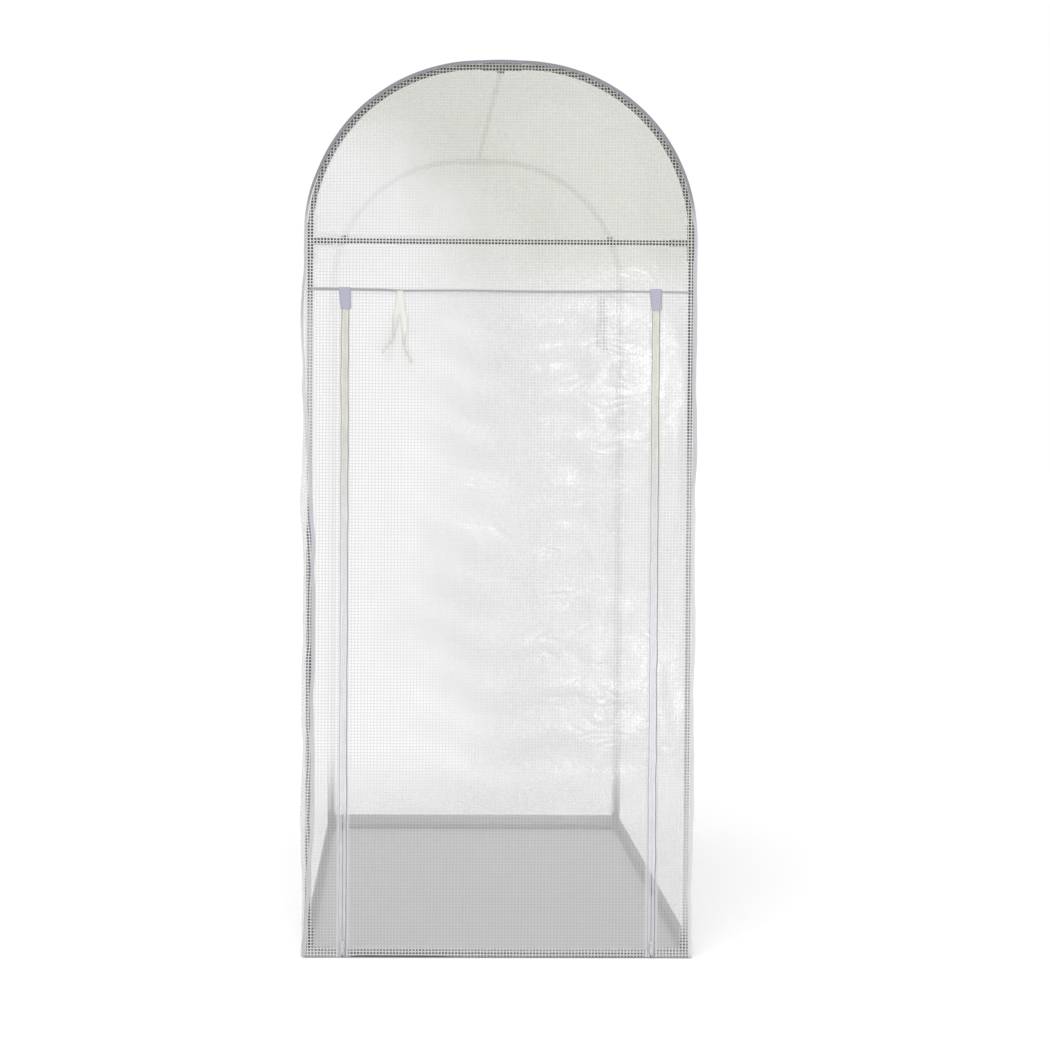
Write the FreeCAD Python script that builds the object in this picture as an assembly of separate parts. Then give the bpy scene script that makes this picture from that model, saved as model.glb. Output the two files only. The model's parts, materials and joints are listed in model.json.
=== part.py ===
import FreeCAD
import Part
import math
import os
from FreeCAD import Vector

# Walk-in frost protection tent: a push-fit steel tube frame under a sewn cover of
# grid-reinforced film, with a door between two zips that rolls up under its header seam.
# Millimetres, +Z up, front towards -Y, origin on the ground under the middle of the cover.

# Outside sizes of the cover
WIDTH = 1000.0
DEPTH = 1000.0
HEIGHT = 2300.0

# Sheet goods
FILM_T = 0.8  # reinforced film, thicker than the real sheet so that it is a sound solid
FLOOR_T = 0.5  # woven ground sheet
FLOOR_UPSTAND = 45.0  # ground sheet turned up inside the two sides and the rear
FILM_GAP = 0.3  # sheet to the connectors that carry it
HEM_LIFT = 2.0  # lower edge of the hanging film above the ground
BINDING_T = 0.6  # tape folded over the sewn edges
BINDING_W = 12.0
HEADER_W = 8.0  # tape over the seam above the door

# Frame tubes
TUBE_D = 13.0
TUBE_WALL = 0.8
LOWER_UPRIGHT_L = 940.0  # lower of the two tubes of each upright
SPIGOT_L = 35.0  # reduced end of the upper tube inside the lower one
SPIGOT_CLEARANCE = 0.1
SWAGE_L = 5.0  # cone between the spigot and the full tube
END_BORE = 30.0  # bent tubes are bored this deep at both ends
FLATS = 12  # sides of a bent or moulded round section, few because the frame repeats them

# Moulded connectors
SLEEVE_WALL = 2.85
SOCKET_CLEARANCE = 0.15
SOCKET_WEB = 2.4  # plastic between the sockets of one connector
END_PLAY = 0.3  # tube end to socket floor
CORNER_ARM = 50.0
LEG_ARM = 46.0  # arch connector, up and down
CROSSBAR_ARM = 57.0
APEX_ARM = 51.0
RIDGE_ARM = 50.0

# Arch of the roof
BEND_OFFSET = 7.0  # straight tube between the apex sleeve and the bend
ARCH_LEG = 16.0  # straight tube between the crossbar level and the bend

# Door and zips
HEADER_DROP = 127.0  # header seam below the crossbars
JAMB_W = 102.0  # zip line from the outside of the cover
FILM_EDGE = 9.0  # film edges from the zip line
DOOR_HEM_H = 25.0
DOOR_HEM_GAP = 2.0  # ends of the door hem from the zip tapes
DOOR_TOP_GAP = 0.3
ZIP_TAPE_W = 16.0  # half tape from the zip line
ZIP_TAPE_T = 0.5
COIL_W = 2.4
COIL_T = 1.8
COIL_SLIT = 1.6  # between the two coil halves
TAB_W = 31.0  # reinforcing tab over the top of each zip
TAB_H = 54.0

# Zip slider and its pull
SLIDER_W = 11.0
SLIDER_TOP_W = 8.6
SLIDER_L = 15.0
SLIDER_Z = 36.0  # middle of the slider with the zip closed
SLIDER_PLATE = 1.2
SLIDER_RUN = 0.4  # slider to coil, tape and slit
POST_L = 5.0
BAIL_W = 2.4
BAIL_L = 9.0
BAIL_T = 1.2
PIN_H = 1.2  # the pull's crossbar, which turns in the bail
PIN_RUN = 0.4
PULL_W = 6.4
PULL_END_W = 8.0
PULL_L = 26.0
PULL_T = 1.0
PULL_WINDOW_L = 7.0
PULL_EYE_D = 3.0

# Tie tapes for the rolled door, sewn into the header seam
TIE_W = 15.0
TIE_T = 0.5
TIE_INSET = 140.0  # from the zip line towards the middle
TIE_SEWN = 4.0  # height of tape sewn onto the header seam
# Tails as (x, z) from the sewn end, chosen by eye: the left tie hangs outside, the right inside
LEFT_TAILS = (
    ((0, 0), (-7, -40), (-20, -82), (-22, -122), (-41, -162)),
    ((0, 0), (8, -44), (4, -88), (3, -132), (34, -178)),
)
RIGHT_TAILS = (
    ((0, 0), (-5, -36), (-3, -72), (-10, -108), (-5, -142)),
    ((0, 0), (6, -38), (10, -76), (5, -114), (13, -150)),
)

# Worked out from the sizes above
SOCKET_D = TUBE_D + 2 * SOCKET_CLEARANCE
SLEEVE_D = SOCKET_D + 2 * SLEEVE_WALL
FLAT_SHARE = math.cos(math.pi / FLATS)  # of a corner's distance from the axis, a flat's
BORE_D = TUBE_D - 2 * TUBE_WALL
SPIGOT_D = BORE_D - 2 * SPIGOT_CLEARANCE
SOCKET_FLOOR = SOCKET_D / 2 + SOCKET_WEB  # from the hub's centre
TUBE_STOP = SOCKET_FLOOR + END_PLAY

# Offsets outwards from the tube axes
FILM_IN = SLEEVE_D / 2 + FILM_GAP + FLOOR_T
FILM_OUT = FILM_IN + FILM_T
BINDING_OUT = FILM_OUT + BINDING_T

FRAME_X = WIDTH / 2 - BINDING_OUT
FRAME_Y = DEPTH / 2 - BINDING_OUT
RAIL_Z = FLOOR_T + FILM_GAP + SLEEVE_D / 2
APEX_Z = HEIGHT - BINDING_OUT
APEX_HALF = APEX_ARM + BEND_OFFSET
ARCH_R = FRAME_X - APEX_HALF
SPRING_Z = APEX_Z - ARCH_R
CROSSBAR_Z = SPRING_Z - ARCH_LEG
SPLIT_Z = RAIL_Z + TUBE_STOP + LOWER_UPRIGHT_L

COVER_X = FRAME_X + FILM_OUT
COVER_Y = FRAME_Y + FILM_OUT
FRONT_Y = -COVER_Y  # outer face of the front film
FRONT_BACK_Y = FRONT_Y + FILM_T
HEADER_Z = CROSSBAR_Z - HEADER_DROP
HEADER_LOW_Z = HEADER_Z - HEADER_W / 2
ZIP_X = WIDTH / 2 - JAMB_W
ZIP_Y = FRONT_BACK_Y + ZIP_TAPE_T / 2
DOOR_TOP_Z = HEADER_Z - DOOR_TOP_GAP

CHANNEL_T = COIL_T + 2 * SLIDER_RUN
SLIDER_T = CHANNEL_T + 2 * SLIDER_PLATE
SLIDER_FACE_Y = ZIP_Y - SLIDER_T / 2
BAIL_WINDOW_H = PIN_H + 2 * PIN_RUN
PIN_Y = SLIDER_FACE_Y - BAIL_WINDOW_H / 2

X_AXIS = Vector(1, 0, 0)
Y_AXIS = Vector(0, 1, 0)
Z_AXIS = Vector(0, 0, 1)
SIDES = {"left": -1, "right": 1}
ENDS = {"front": -1, "rear": 1}


def save(node, shape):
    """Write one sub-part and report its volume."""
    if not shape.isValid():
        raise ValueError(node + " is not a valid solid")
    shape.exportStep("parts/" + node + ".step")
    print(node, len(shape.Solids), round(shape.Volume, 1))


def box(low, high):
    """Block between two opposite corners."""
    size = high - low
    return Part.makeBox(size.x, size.y, size.z, low)


def straight_tube(start, end):
    """Hollow tube between two points."""
    run = end - start
    outside = Part.makeCylinder(TUBE_D / 2, run.Length, start, run)
    return outside.cut(Part.makeCylinder(BORE_D / 2, run.Length, start, run))


def round_section(diameter, centre, heading):
    """Outline of a faceted round section, with its corners on the circle."""
    across = Y_AXIS if abs(heading.x) > 0.5 else X_AXIS
    along = heading.cross(across)
    corners = []
    for step in range(FLATS):
        turn = (step + 0.5) * 2 * math.pi / FLATS
        corners.append(centre + (across * math.cos(turn) + along * math.sin(turn)) * (diameter / 2))
    return Part.makePolygon(corners + corners[:1])


def rod(diameter, start, run):
    """Straight faceted round solid."""
    section = round_section(diameter, start, Vector(run).normalize())
    return Part.Face(section).extrude(run)


def pipe(path, diameter, start):
    """Faceted round solid along a path that sets out upwards, of lines and arcs."""
    return path.makePipeShell([round_section(diameter, start, Z_AXIS)], True, False)


def swaged_upright(x, y):
    """Upper upright tube: its lower end is drawn down to a spigot that slips into the lower tube."""
    shoulder = SPLIT_Z + END_PLAY
    top = CROSSBAR_Z - TUBE_STOP
    profile = [
        (SPIGOT_D / 2, SPLIT_Z - SPIGOT_L),
        (SPIGOT_D / 2, shoulder),
        (TUBE_D / 2, shoulder + SWAGE_L),
        (TUBE_D / 2, top),
        (BORE_D / 2, top),
        (BORE_D / 2, shoulder + SWAGE_L),
        (SPIGOT_D / 2 - TUBE_WALL, shoulder),
        (SPIGOT_D / 2 - TUBE_WALL, SPLIT_Z - SPIGOT_L),
    ]
    points = [Vector(x + r, y, z) for r, z in profile]
    face = Part.Face(Part.makePolygon(points + points[:1]))
    return face.revolve(Vector(x, y, 0), Z_AXIS, 360)


def arch_point(side, y, angle, offset=0.0):
    """Point on the bend, with angle 0 at the spring line and 90 at the crown."""
    radius = ARCH_R + offset
    turn = math.radians(angle)
    x = side * (APEX_HALF + radius * math.cos(turn))
    return Vector(x, y, SPRING_Z + radius * math.sin(turn))


def leg_path(side, y, start, length):
    """Centre line of the arch's leg: from start above the crossbar level, straight and then bent."""
    foot = Vector(side * FRAME_X, y, CROSSBAR_Z + start)
    if start + length <= ARCH_LEG:
        return Part.Wire([Part.makeLine(foot, foot + Z_AXIS * length)])
    bend = math.degrees((start + length - ARCH_LEG) / ARCH_R)
    arc = Part.Arc(*[arch_point(side, y, share * bend) for share in (0, 0.5, 1)])
    straight = Part.makeLine(foot, arch_point(side, y, 0))
    return Part.Wire([straight, arc.toShape()])


def arch_tube(side, y):
    """Bent half of an arch, from the arch connector's socket to the apex connector's."""
    foot = Vector(side * FRAME_X, y, CROSSBAR_Z + TUBE_STOP)
    tip = Vector(side * TUBE_STOP, y, APEX_Z)
    bend = Part.Arc(*[arch_point(side, y, angle) for angle in (0, 45, 90)])
    path = Part.Wire([
        Part.makeLine(foot, arch_point(side, y, 0)),
        bend.toShape(),
        Part.makeLine(arch_point(side, y, 90), tip),
    ])
    leg_bore = pipe(leg_path(side, y, TUBE_STOP, END_BORE), BORE_D, foot)
    apex_bore = rod(BORE_D, tip, X_AXIS * (side * END_BORE))
    return pipe(path, TUBE_D, foot).cut([leg_bore, apex_bore])


def arm(hub, heading, length):
    """Sleeve and blind socket of a connector's straight arm."""
    floor = hub + heading * SOCKET_FLOOR
    sleeve = rod(SLEEVE_D, hub, heading * length)
    socket = rod(SOCKET_D / FLAT_SHARE, floor, heading * (length - SOCKET_FLOOR))
    return sleeve, socket


def leg_arm(side, y, length):
    """Sleeve and blind socket of the arm that follows the arch's leg into its bend."""
    hub = Vector(side * FRAME_X, y, CROSSBAR_Z)
    floor = hub + Z_AXIS * SOCKET_FLOOR
    sleeve = pipe(leg_path(side, y, 0, length), SLEEVE_D, hub)
    socket_path = leg_path(side, y, SOCKET_FLOOR, length - SOCKET_FLOOR)
    return sleeve, pipe(socket_path, SOCKET_D / FLAT_SHARE, floor)


def connector(arms, cap=None):
    """Moulded connector: sleeves that run into each other, and a cap where no arm goes on."""
    sleeves = [sleeve for sleeve, socket in arms]
    if cap:
        sleeves.append(cap)
    body = sleeves[0].fuse(sleeves[1:]).removeSplitter()
    return body.cut([socket for sleeve, socket in arms])


def arch_slab(offset, low_z, near_y, far_y):
    """Door-shaped slab: straight sides, rounded shoulders and a short flat crown."""
    half = FRAME_X + offset
    crown_z = APEX_Z + offset
    left = [arch_point(-1, near_y, angle, offset) for angle in (0, 45, 90)]
    right = [arch_point(1, near_y, angle, offset) for angle in (90, 45, 0)]
    low_left = Vector(-half, near_y, low_z)
    low_right = Vector(half, near_y, low_z)
    edges = [
        Part.Arc(*left).toShape(),
        Part.makeLine(left[-1], Vector(APEX_HALF, near_y, crown_z)),
        Part.Arc(*right).toShape(),
    ]
    if low_z < SPRING_Z:
        edges = [Part.makeLine(low_left, left[0])] + edges
        edges.append(Part.makeLine(right[-1], low_right))
    edges.append(Part.makeLine(low_right, low_left))
    return Part.Face(Part.Wire(edges)).extrude(Y_AXIS * (far_y - near_y))


def seam_binding(end):
    """Tape folded over the sewn edge between the long sheet and a front or rear panel."""
    face_y = end * (COVER_Y + BINDING_T)
    panel_y = end * COVER_Y
    wrap_y = end * (COVER_Y + BINDING_T - BINDING_W)
    wrap = arch_slab(BINDING_OUT, HEM_LIFT, face_y, wrap_y)
    wrap = wrap.cut(arch_slab(FILM_OUT, HEM_LIFT, panel_y, wrap_y))
    return wrap.cut(arch_slab(BINDING_OUT - BINDING_W, HEM_LIFT, face_y, panel_y))


def zip_half(side, away):
    """Half a zip: a woven tape with the coil along its edge. away is +1 towards the jamb, -1 the door."""
    top_z = HEADER_Z if away > 0 else DOOR_TOP_Z
    edge = COIL_SLIT / 2
    half_coil = COIL_T / 2
    half_tape = ZIP_TAPE_T / 2
    profile = [
        (edge, -half_coil),
        (edge + COIL_W, -half_coil),
        (edge + COIL_W, -half_tape),
        (ZIP_TAPE_W, -half_tape),
        (ZIP_TAPE_W, half_tape),
        (edge + COIL_W, half_tape),
        (edge + COIL_W, half_coil),
        (edge, half_coil),
    ]
    points = [Vector(side * (ZIP_X + away * x), ZIP_Y + y, HEM_LIFT) for x, y in profile]
    face = Part.Face(Part.makePolygon(points + points[:1]))
    return face.extrude(Z_AXIS * (top_z - HEM_LIFT))


def zip_slider(side):
    """Slider body: two plates joined by a post, with side slots for the tapes and a bail in front."""
    x = side * ZIP_X
    low = SLIDER_Z - SLIDER_L / 2
    high = SLIDER_Z + SLIDER_L / 2
    outline = [
        Vector(x - SLIDER_W / 2, SLIDER_FACE_Y, low),
        Vector(x + SLIDER_W / 2, SLIDER_FACE_Y, low),
        Vector(x + SLIDER_W / 2, SLIDER_FACE_Y, SLIDER_Z),
        Vector(x + SLIDER_TOP_W / 2, SLIDER_FACE_Y, high),
        Vector(x - SLIDER_TOP_W / 2, SLIDER_FACE_Y, high),
        Vector(x - SLIDER_W / 2, SLIDER_FACE_Y, SLIDER_Z),
    ]
    body = Part.Face(Part.makePolygon(outline + outline[:1])).extrude(Y_AXIS * SLIDER_T)
    channel_half = COIL_SLIT / 2 + COIL_W + SLIDER_RUN
    slot_half = ZIP_TAPE_T / 2 + SLIDER_RUN
    channel = box(
        Vector(x - channel_half, ZIP_Y - CHANNEL_T / 2, low),
        Vector(x + channel_half, ZIP_Y + CHANNEL_T / 2, high),
    )
    slot = box(
        Vector(x - SLIDER_W / 2, ZIP_Y - slot_half, low),
        Vector(x + SLIDER_W / 2, ZIP_Y + slot_half, high),
    )
    post_half = COIL_SLIT / 2 - SLIDER_RUN
    post = box(
        Vector(x - post_half, ZIP_Y - CHANNEL_T / 2, low),
        Vector(x + post_half, ZIP_Y + CHANNEL_T / 2, low + POST_L),
    )
    bail = box(
        Vector(x - BAIL_W / 2, SLIDER_FACE_Y - BAIL_WINDOW_H - BAIL_T, SLIDER_Z - BAIL_L / 2),
        Vector(x + BAIL_W / 2, SLIDER_FACE_Y, SLIDER_Z + BAIL_L / 2),
    )
    crown = [edge for edge in bail.Edges if abs(edge.CenterOfMass.y - bail.BoundBox.YMin) < 1e-6]
    crown = [edge for edge in crown if abs(edge.CenterOfMass.z - SLIDER_Z) > 1e-6]
    bail = bail.makeFillet(BAIL_T, crown)
    window = box(
        Vector(x - BAIL_W / 2, SLIDER_FACE_Y - BAIL_WINDOW_H, SLIDER_Z - BAIL_L / 2 + BAIL_T),
        Vector(x + BAIL_W / 2, SLIDER_FACE_Y, SLIDER_Z + BAIL_L / 2 - BAIL_T),
    )
    return body.cut([channel, slot]).fuse([post, bail.cut(window)]).removeSplitter()


def zip_pull(side):
    """Stamped pull tab that hangs in the bail by the crossbar over its window."""
    x = side * ZIP_X
    y = PIN_Y - PULL_T / 2
    end_r = PULL_END_W / 2
    end_z = SLIDER_Z - PULL_L + end_r
    top_z = SLIDER_Z + PIN_H / 2
    window_top = SLIDER_Z - PIN_H / 2
    shoulders = [Vector(x + sign * PULL_W / 2, y, top_z) for sign in (-1, 1)]
    hips = [Vector(x + sign * end_r, y, end_z) for sign in (-1, 1)]
    rounding = Part.Arc(hips[1], Vector(x, y, end_z - end_r), hips[0])
    outline = Part.Wire([
        Part.makeLine(shoulders[0], shoulders[1]),
        Part.makeLine(shoulders[1], hips[1]),
        rounding.toShape(),
        Part.makeLine(hips[0], shoulders[0]),
    ])
    tab = Part.Face(outline).extrude(Y_AXIS * PULL_T)
    window_half = BAIL_W / 2 + PIN_RUN
    window = box(
        Vector(x - window_half, y, window_top - PULL_WINDOW_L),
        Vector(x + window_half, y + PULL_T, window_top),
    )
    eye = Part.makeCylinder(PULL_EYE_D / 2, PULL_T, Vector(x, y, end_z), Y_AXIS)
    return tab.cut([window, eye])


def rounded_path(points):
    """Straight runs joined by tangent arcs, each as large as its two runs allow."""
    edges = []
    start = points[0]
    for before, corner, after in zip(points, points[1:], points[2:]):
        arriving = (corner - before).normalize()
        leaving = (after - corner).normalize()
        setback = 0.45 * min((corner - before).Length, (after - corner).Length)
        half_turn = arriving.getAngle(leaving) / 2
        inward = (leaving - arriving).normalize()
        radius = setback / math.tan(half_turn)
        print(f"bend radius {radius:.1f} mm")
        middle = corner + inward * (radius / math.cos(half_turn) - radius)
        first = corner - arriving * setback
        last = corner + leaving * setback
        edges += [Part.makeLine(start, first), Part.Arc(first, middle, last).toShape()]
        start = last
    edges.append(Part.makeLine(start, points[-1]))
    return Part.Wire(edges)


def tie_tape(x, y, outward, tails):
    """Tape sewn at its middle onto the header seam: two tails hang in layers, outward from the film."""
    layers = []
    for layer, route in enumerate(tails):
        low_y = y + outward * layer * TIE_T
        high_y = low_y + outward * TIE_T
        points = [Vector(x + dx, low_y, HEADER_LOW_Z + dz) for dx, dz in route]
        sewn = Vector(x, low_y, HEADER_LOW_Z + TIE_SEWN)
        corners = [
            Vector(x - TIE_W / 2, low_y, sewn.z),
            Vector(x + TIE_W / 2, low_y, sewn.z),
            Vector(x + TIE_W / 2, high_y, sewn.z),
            Vector(x - TIE_W / 2, high_y, sewn.z),
        ]
        section = Part.makePolygon(corners + corners[:1])
        path = rounded_path([sewn] + points)
        tail = path.makePipeShell([section], True, False)
        plain = TIE_W * TIE_T * path.Length
        print(f"tail {path.Length:.1f} mm long, volume {tail.Volume / plain:.4f} of section times length")
        layers.append(tail)
    return layers[0].fuse(layers[1])


def build_frame():
    """Steel tubes and the moulded connectors that they push into."""
    for end, end_sign in ENDS.items():
        y = end_sign * FRAME_Y
        inward = Y_AXIS * -end_sign
        apex = Vector(0, y, APEX_Z)
        save("apex_connector_" + end, connector([
            arm(apex, X_AXIS, APEX_ARM),
            arm(apex, X_AXIS * -1, APEX_ARM),
            arm(apex, inward, RIDGE_ARM),
        ]))
        reach = Vector(FRAME_X - TUBE_STOP, 0, 0)
        bar = Vector(0, y, CROSSBAR_Z)
        rail = Vector(0, y, RAIL_Z)
        save("crossbar_" + end, straight_tube(bar - reach, bar + reach))
        save("base_rail_" + end, straight_tube(rail - reach, rail + reach))
        for side, sign in SIDES.items():
            x = sign * FRAME_X
            corner = end + "_" + side
            foot = Vector(x, y, RAIL_Z)
            shoulder = Vector(x, y, CROSSBAR_Z)
            cap = rod(SLEEVE_D, foot, Z_AXIS * (-FLAT_SHARE * SLEEVE_D / 2))
            save("corner_connector_" + corner, connector([
                arm(foot, Z_AXIS, CORNER_ARM),
                arm(foot, X_AXIS * -sign, CORNER_ARM),
                arm(foot, inward, CORNER_ARM),
            ], cap))
            save("arch_connector_" + corner, connector([
                arm(shoulder, Z_AXIS * -1, LEG_ARM),
                arm(shoulder, X_AXIS * -sign, CROSSBAR_ARM),
                leg_arm(sign, y, LEG_ARM),
            ]))
            lower = straight_tube(Vector(x, y, RAIL_Z + TUBE_STOP), Vector(x, y, SPLIT_Z))
            save("upright_" + corner + "_lower", lower)
            save("upright_" + corner + "_upper", swaged_upright(x, y))
            save("arch_tube_" + corner, arch_tube(sign, y))
    reach = Vector(0, FRAME_Y - TUBE_STOP, 0)
    ridge = Vector(0, 0, APEX_Z)
    save("ridge_pole", straight_tube(ridge - reach, ridge + reach))
    for side, sign in SIDES.items():
        rail = Vector(sign * FRAME_X, 0, RAIL_Z)
        save("base_rail_" + side, straight_tube(rail - reach, rail + reach))


def build_cover():
    """Long sheet over the roof and both sides, end panels, ground sheet and bound seams."""
    roof = arch_slab(FILM_OUT, SPRING_Z, -COVER_Y, COVER_Y)
    save("roof_sheet", roof.cut(arch_slab(FILM_IN, SPRING_Z, -COVER_Y, COVER_Y)))
    inner_x = FRAME_X + FILM_IN
    for side, sign in SIDES.items():
        middle_x = sign * (inner_x + COVER_X) / 2
        half = Vector(FILM_T / 2, COVER_Y, (SPRING_Z - HEM_LIFT) / 2)
        centre = Vector(middle_x, 0, (SPRING_Z + HEM_LIFT) / 2)
        save("side_wall_" + side, box(centre - half, centre + half))
        jamb_x = sorted((sign * (ZIP_X + FILM_EDGE), sign * inner_x))
        low = Vector(jamb_x[0], FRONT_Y, HEM_LIFT)
        save("front_jamb_" + side, box(low, Vector(jamb_x[1], FRONT_BACK_Y, HEADER_Z)))
    save("rear_panel", arch_slab(FILM_IN, HEM_LIFT, COVER_Y - FILM_T, COVER_Y))
    save("front_gable_panel", arch_slab(FILM_IN, HEADER_Z, FRONT_Y, FRONT_BACK_Y))
    for end, end_sign in ENDS.items():
        save(end + "_seam_binding", seam_binding(end_sign))
    header_x = WIDTH / 2 - BINDING_W
    save("header_seam_binding", box(
        Vector(-header_x, FRONT_Y - BINDING_T, HEADER_LOW_Z),
        Vector(header_x, FRONT_Y, HEADER_LOW_Z + HEADER_W),
    ))
    rear_y = FRAME_Y + FILM_IN
    tray = box(Vector(-inner_x, FRONT_BACK_Y, 0), Vector(inner_x, rear_y, FLOOR_UPSTAND))
    hollow = box(
        Vector(FLOOR_T - inner_x, FRONT_BACK_Y, FLOOR_T),
        Vector(inner_x - FLOOR_T, rear_y - FLOOR_T, FLOOR_UPSTAND),
    )
    save("floor_sheet", tray.cut(hollow))


def build_door():
    """Door sheet, its zips with sliders and pulls, the tabs over the zips and the tie tapes."""
    door_x = ZIP_X - FILM_EDGE
    save("door_panel", box(
        Vector(-door_x, FRONT_Y, HEM_LIFT), Vector(door_x, FRONT_BACK_Y, DOOR_TOP_Z)
    ))
    hem_x = ZIP_X - ZIP_TAPE_W - DOOR_HEM_GAP
    save("door_bottom_hem", box(
        Vector(-hem_x, FRONT_BACK_Y, HEM_LIFT),
        Vector(hem_x, FRONT_BACK_Y + FILM_T, HEM_LIFT + DOOR_HEM_H),
    ))
    for side, sign in SIDES.items():
        save("jamb_zip_tape_" + side, zip_half(sign, 1))
        save("door_zip_tape_" + side, zip_half(sign, -1))
        save("zip_slider_" + side, zip_slider(sign))
        save("zip_pull_" + side, zip_pull(sign))
        tab_x = sign * ZIP_X - TAB_W / 2
        save("zip_top_tab_" + side, box(
            Vector(tab_x, FRONT_Y - BINDING_T, HEADER_LOW_Z - TAB_H),
            Vector(tab_x + TAB_W, FRONT_Y, HEADER_LOW_Z),
        ))
    tie_x = ZIP_X - TIE_INSET
    save("tie_tape_left", tie_tape(-tie_x, FRONT_Y - BINDING_T, -1, LEFT_TAILS))
    save("tie_tape_right", tie_tape(tie_x, FRONT_BACK_Y, 1, RIGHT_TAILS))


os.makedirs("parts", exist_ok=True)
build_frame()
build_cover()
build_door()
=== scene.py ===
"""Looks of the frost protection tent: sewn grid film, tapes, zips and ties around the tube frame."""

import json
import math

import bpy
import numpy as np
from mathutils import Matrix, Vector


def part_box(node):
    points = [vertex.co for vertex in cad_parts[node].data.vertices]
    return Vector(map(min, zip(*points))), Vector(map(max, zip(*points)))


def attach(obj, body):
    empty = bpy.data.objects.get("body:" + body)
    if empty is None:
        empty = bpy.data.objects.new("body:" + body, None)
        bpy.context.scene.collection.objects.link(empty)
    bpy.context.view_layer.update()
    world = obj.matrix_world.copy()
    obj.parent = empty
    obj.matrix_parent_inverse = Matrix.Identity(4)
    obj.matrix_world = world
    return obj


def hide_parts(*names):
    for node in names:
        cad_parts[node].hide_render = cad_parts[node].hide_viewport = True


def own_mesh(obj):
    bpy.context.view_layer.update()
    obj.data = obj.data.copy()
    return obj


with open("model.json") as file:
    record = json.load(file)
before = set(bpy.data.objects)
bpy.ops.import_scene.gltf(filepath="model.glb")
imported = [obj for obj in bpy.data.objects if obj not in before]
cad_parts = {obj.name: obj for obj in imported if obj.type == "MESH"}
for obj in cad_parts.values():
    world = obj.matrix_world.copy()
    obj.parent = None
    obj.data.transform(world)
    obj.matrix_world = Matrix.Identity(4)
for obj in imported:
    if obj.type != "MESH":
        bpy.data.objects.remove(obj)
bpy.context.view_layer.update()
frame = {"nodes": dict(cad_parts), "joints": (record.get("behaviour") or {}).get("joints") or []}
NODES = frame["nodes"]
SIDES = {"left": -1, "right": 1}
ENDS = {"front": -1, "rear": 1}


def middle(node):
    """Centre of a node's box."""
    low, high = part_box(node)
    return (low + high) / 2


# Places taken from the frame, in metres
ROOF_LOW, ROOF_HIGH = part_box("roof_sheet")
DOOR_LOW, DOOR_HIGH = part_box("door_panel")
HEADER_LOW, HEADER_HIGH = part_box("header_seam_binding")
FLOOR_LOW, FLOOR_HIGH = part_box("floor_sheet")
HEM_LOW, HEM_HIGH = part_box("door_bottom_hem")
FILM_T = DOOR_HIGH.y - DOOR_LOW.y
COVER_X = ROOF_HIGH.x - FILM_T / 2
COVER_Y = ROOF_HIGH.y - FILM_T / 2
SPRING_Z = ROOF_LOW.z
ARCH_R = ROOF_HIGH.z - FILM_T / 2 - SPRING_Z
CROWN_HALF = COVER_X - ARCH_R
HEM_Z = DOOR_LOW.z
HEADER_Z = (HEADER_LOW.z + HEADER_HIGH.z) / 2
DOOR_TOP_Z = DOOR_HIGH.z
ZIP_X = middle("zip_slider_right").x
ZIP_Y = middle("jamb_zip_tape_right").y
ZIP_TAPE_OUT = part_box("jamb_zip_tape_right")[1].x - ZIP_X
FILM_EDGE = ZIP_X - DOOR_HIGH.x
FRONT_Y = -COVER_Y
BINDING_T = DOOR_LOW.y - HEADER_LOW.y
FRAME_X = middle("base_rail_right").x
FRAME_Y = middle("base_rail_rear").y
RAIL_Z = middle("base_rail_rear").z
CROSSBAR_Z = middle("crossbar_front").z
RIDGE_Z = middle("ridge_pole").z

# Section of the cover: left wall, left bend, flat crown, right bend, right wall
WALL_L = SPRING_Z - HEM_Z
BEND_L = ARCH_R * math.pi / 2
CROWN_L = 2 * CROWN_HALF
SECTION_L = 2 * WALL_L + 2 * BEND_L + CROWN_L

# Film
GRID_X = 0.0084  # yarn spacing across
GRID_Z = 0.0079  # yarn spacing up the sheet
YARN_SHARE = 0.33  # of the spacing that a yarn covers
CELL = 0.010  # mesh spacing of the sheets
SEAM_REACH = 0.13  # how far a seam's slack runs into the sheet
CREASE_W = 0.012  # folds left from packing
CREASE_H = 0.0011
HEM_W = 0.020  # lower edges folded double
HEM_FADE = 0.002
# Sewn edges: slack on the left wall, the right wall and everywhere, and the waves and kinks along them
SLACK_LEFT, SLACK_RIGHT, SLACK_LEAST = 0.0080, 0.0032, 0.0008
SEAM_WAVE_H = (0.0022, 0.0012, 0.0004)
SEAM_KINK_H = (0.0009, 0.0006, 0.0002)
LAP_KINK_H = 0.0016
PEAK_H = 0.0024  # the front and rear edges come to a slight point at the crown
PEAK_W = 0.055
ROOF_SAG = 0.011
WALL_BILLOW = 0.005
WALL_PULL = 0.0035
WALL_WRINKLE = 0.0009
PANEL_BULGE = 0.004
PANEL_WRINKLE_H = 0.0008

# Look of the film
YARN_STRAY = 0.0016
PATCH_SHIFT = 0.5  # how far noise patches move the edge between the clean film and the painted shade
# up the arches the painted shade reaches further left
CROWN_SHADE_SHIFT = 0.4
HEM_DENSER = 0.25
FILM_ROUGHNESS = (0.13, 0.24)
FILM_SHINE = 0.8
CLEAR_X = -0.32  # left of this the film is clean white between its yarns
SHADED_X = 0.12  # right of this the film is painted greyer, as painted shade, and its grid is nearly lost
# The lowest part of the film is clearer: fully up to the first z, and not above the second
LOW_FRONT = (0.34, 0.56)
LOW_COVER = (0.0, 1.1)
# How much of each gap between yarns the film hides; the right-side and roof values belong to the painted
# shade there
HAZE = 0.84
HAZE_SHADED = 0.78
HAZE_ROOF_SHADED = 0.80
HAZE_LOW = 0.34
HAZE_TOUCH = 0.03
YARN_ALPHA = 0.97
YARN_ALPHA_LOW = 0.62
YARN_ALPHA_ARCH = 0.70  # where the sheet is drawn tight over an arch
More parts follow.
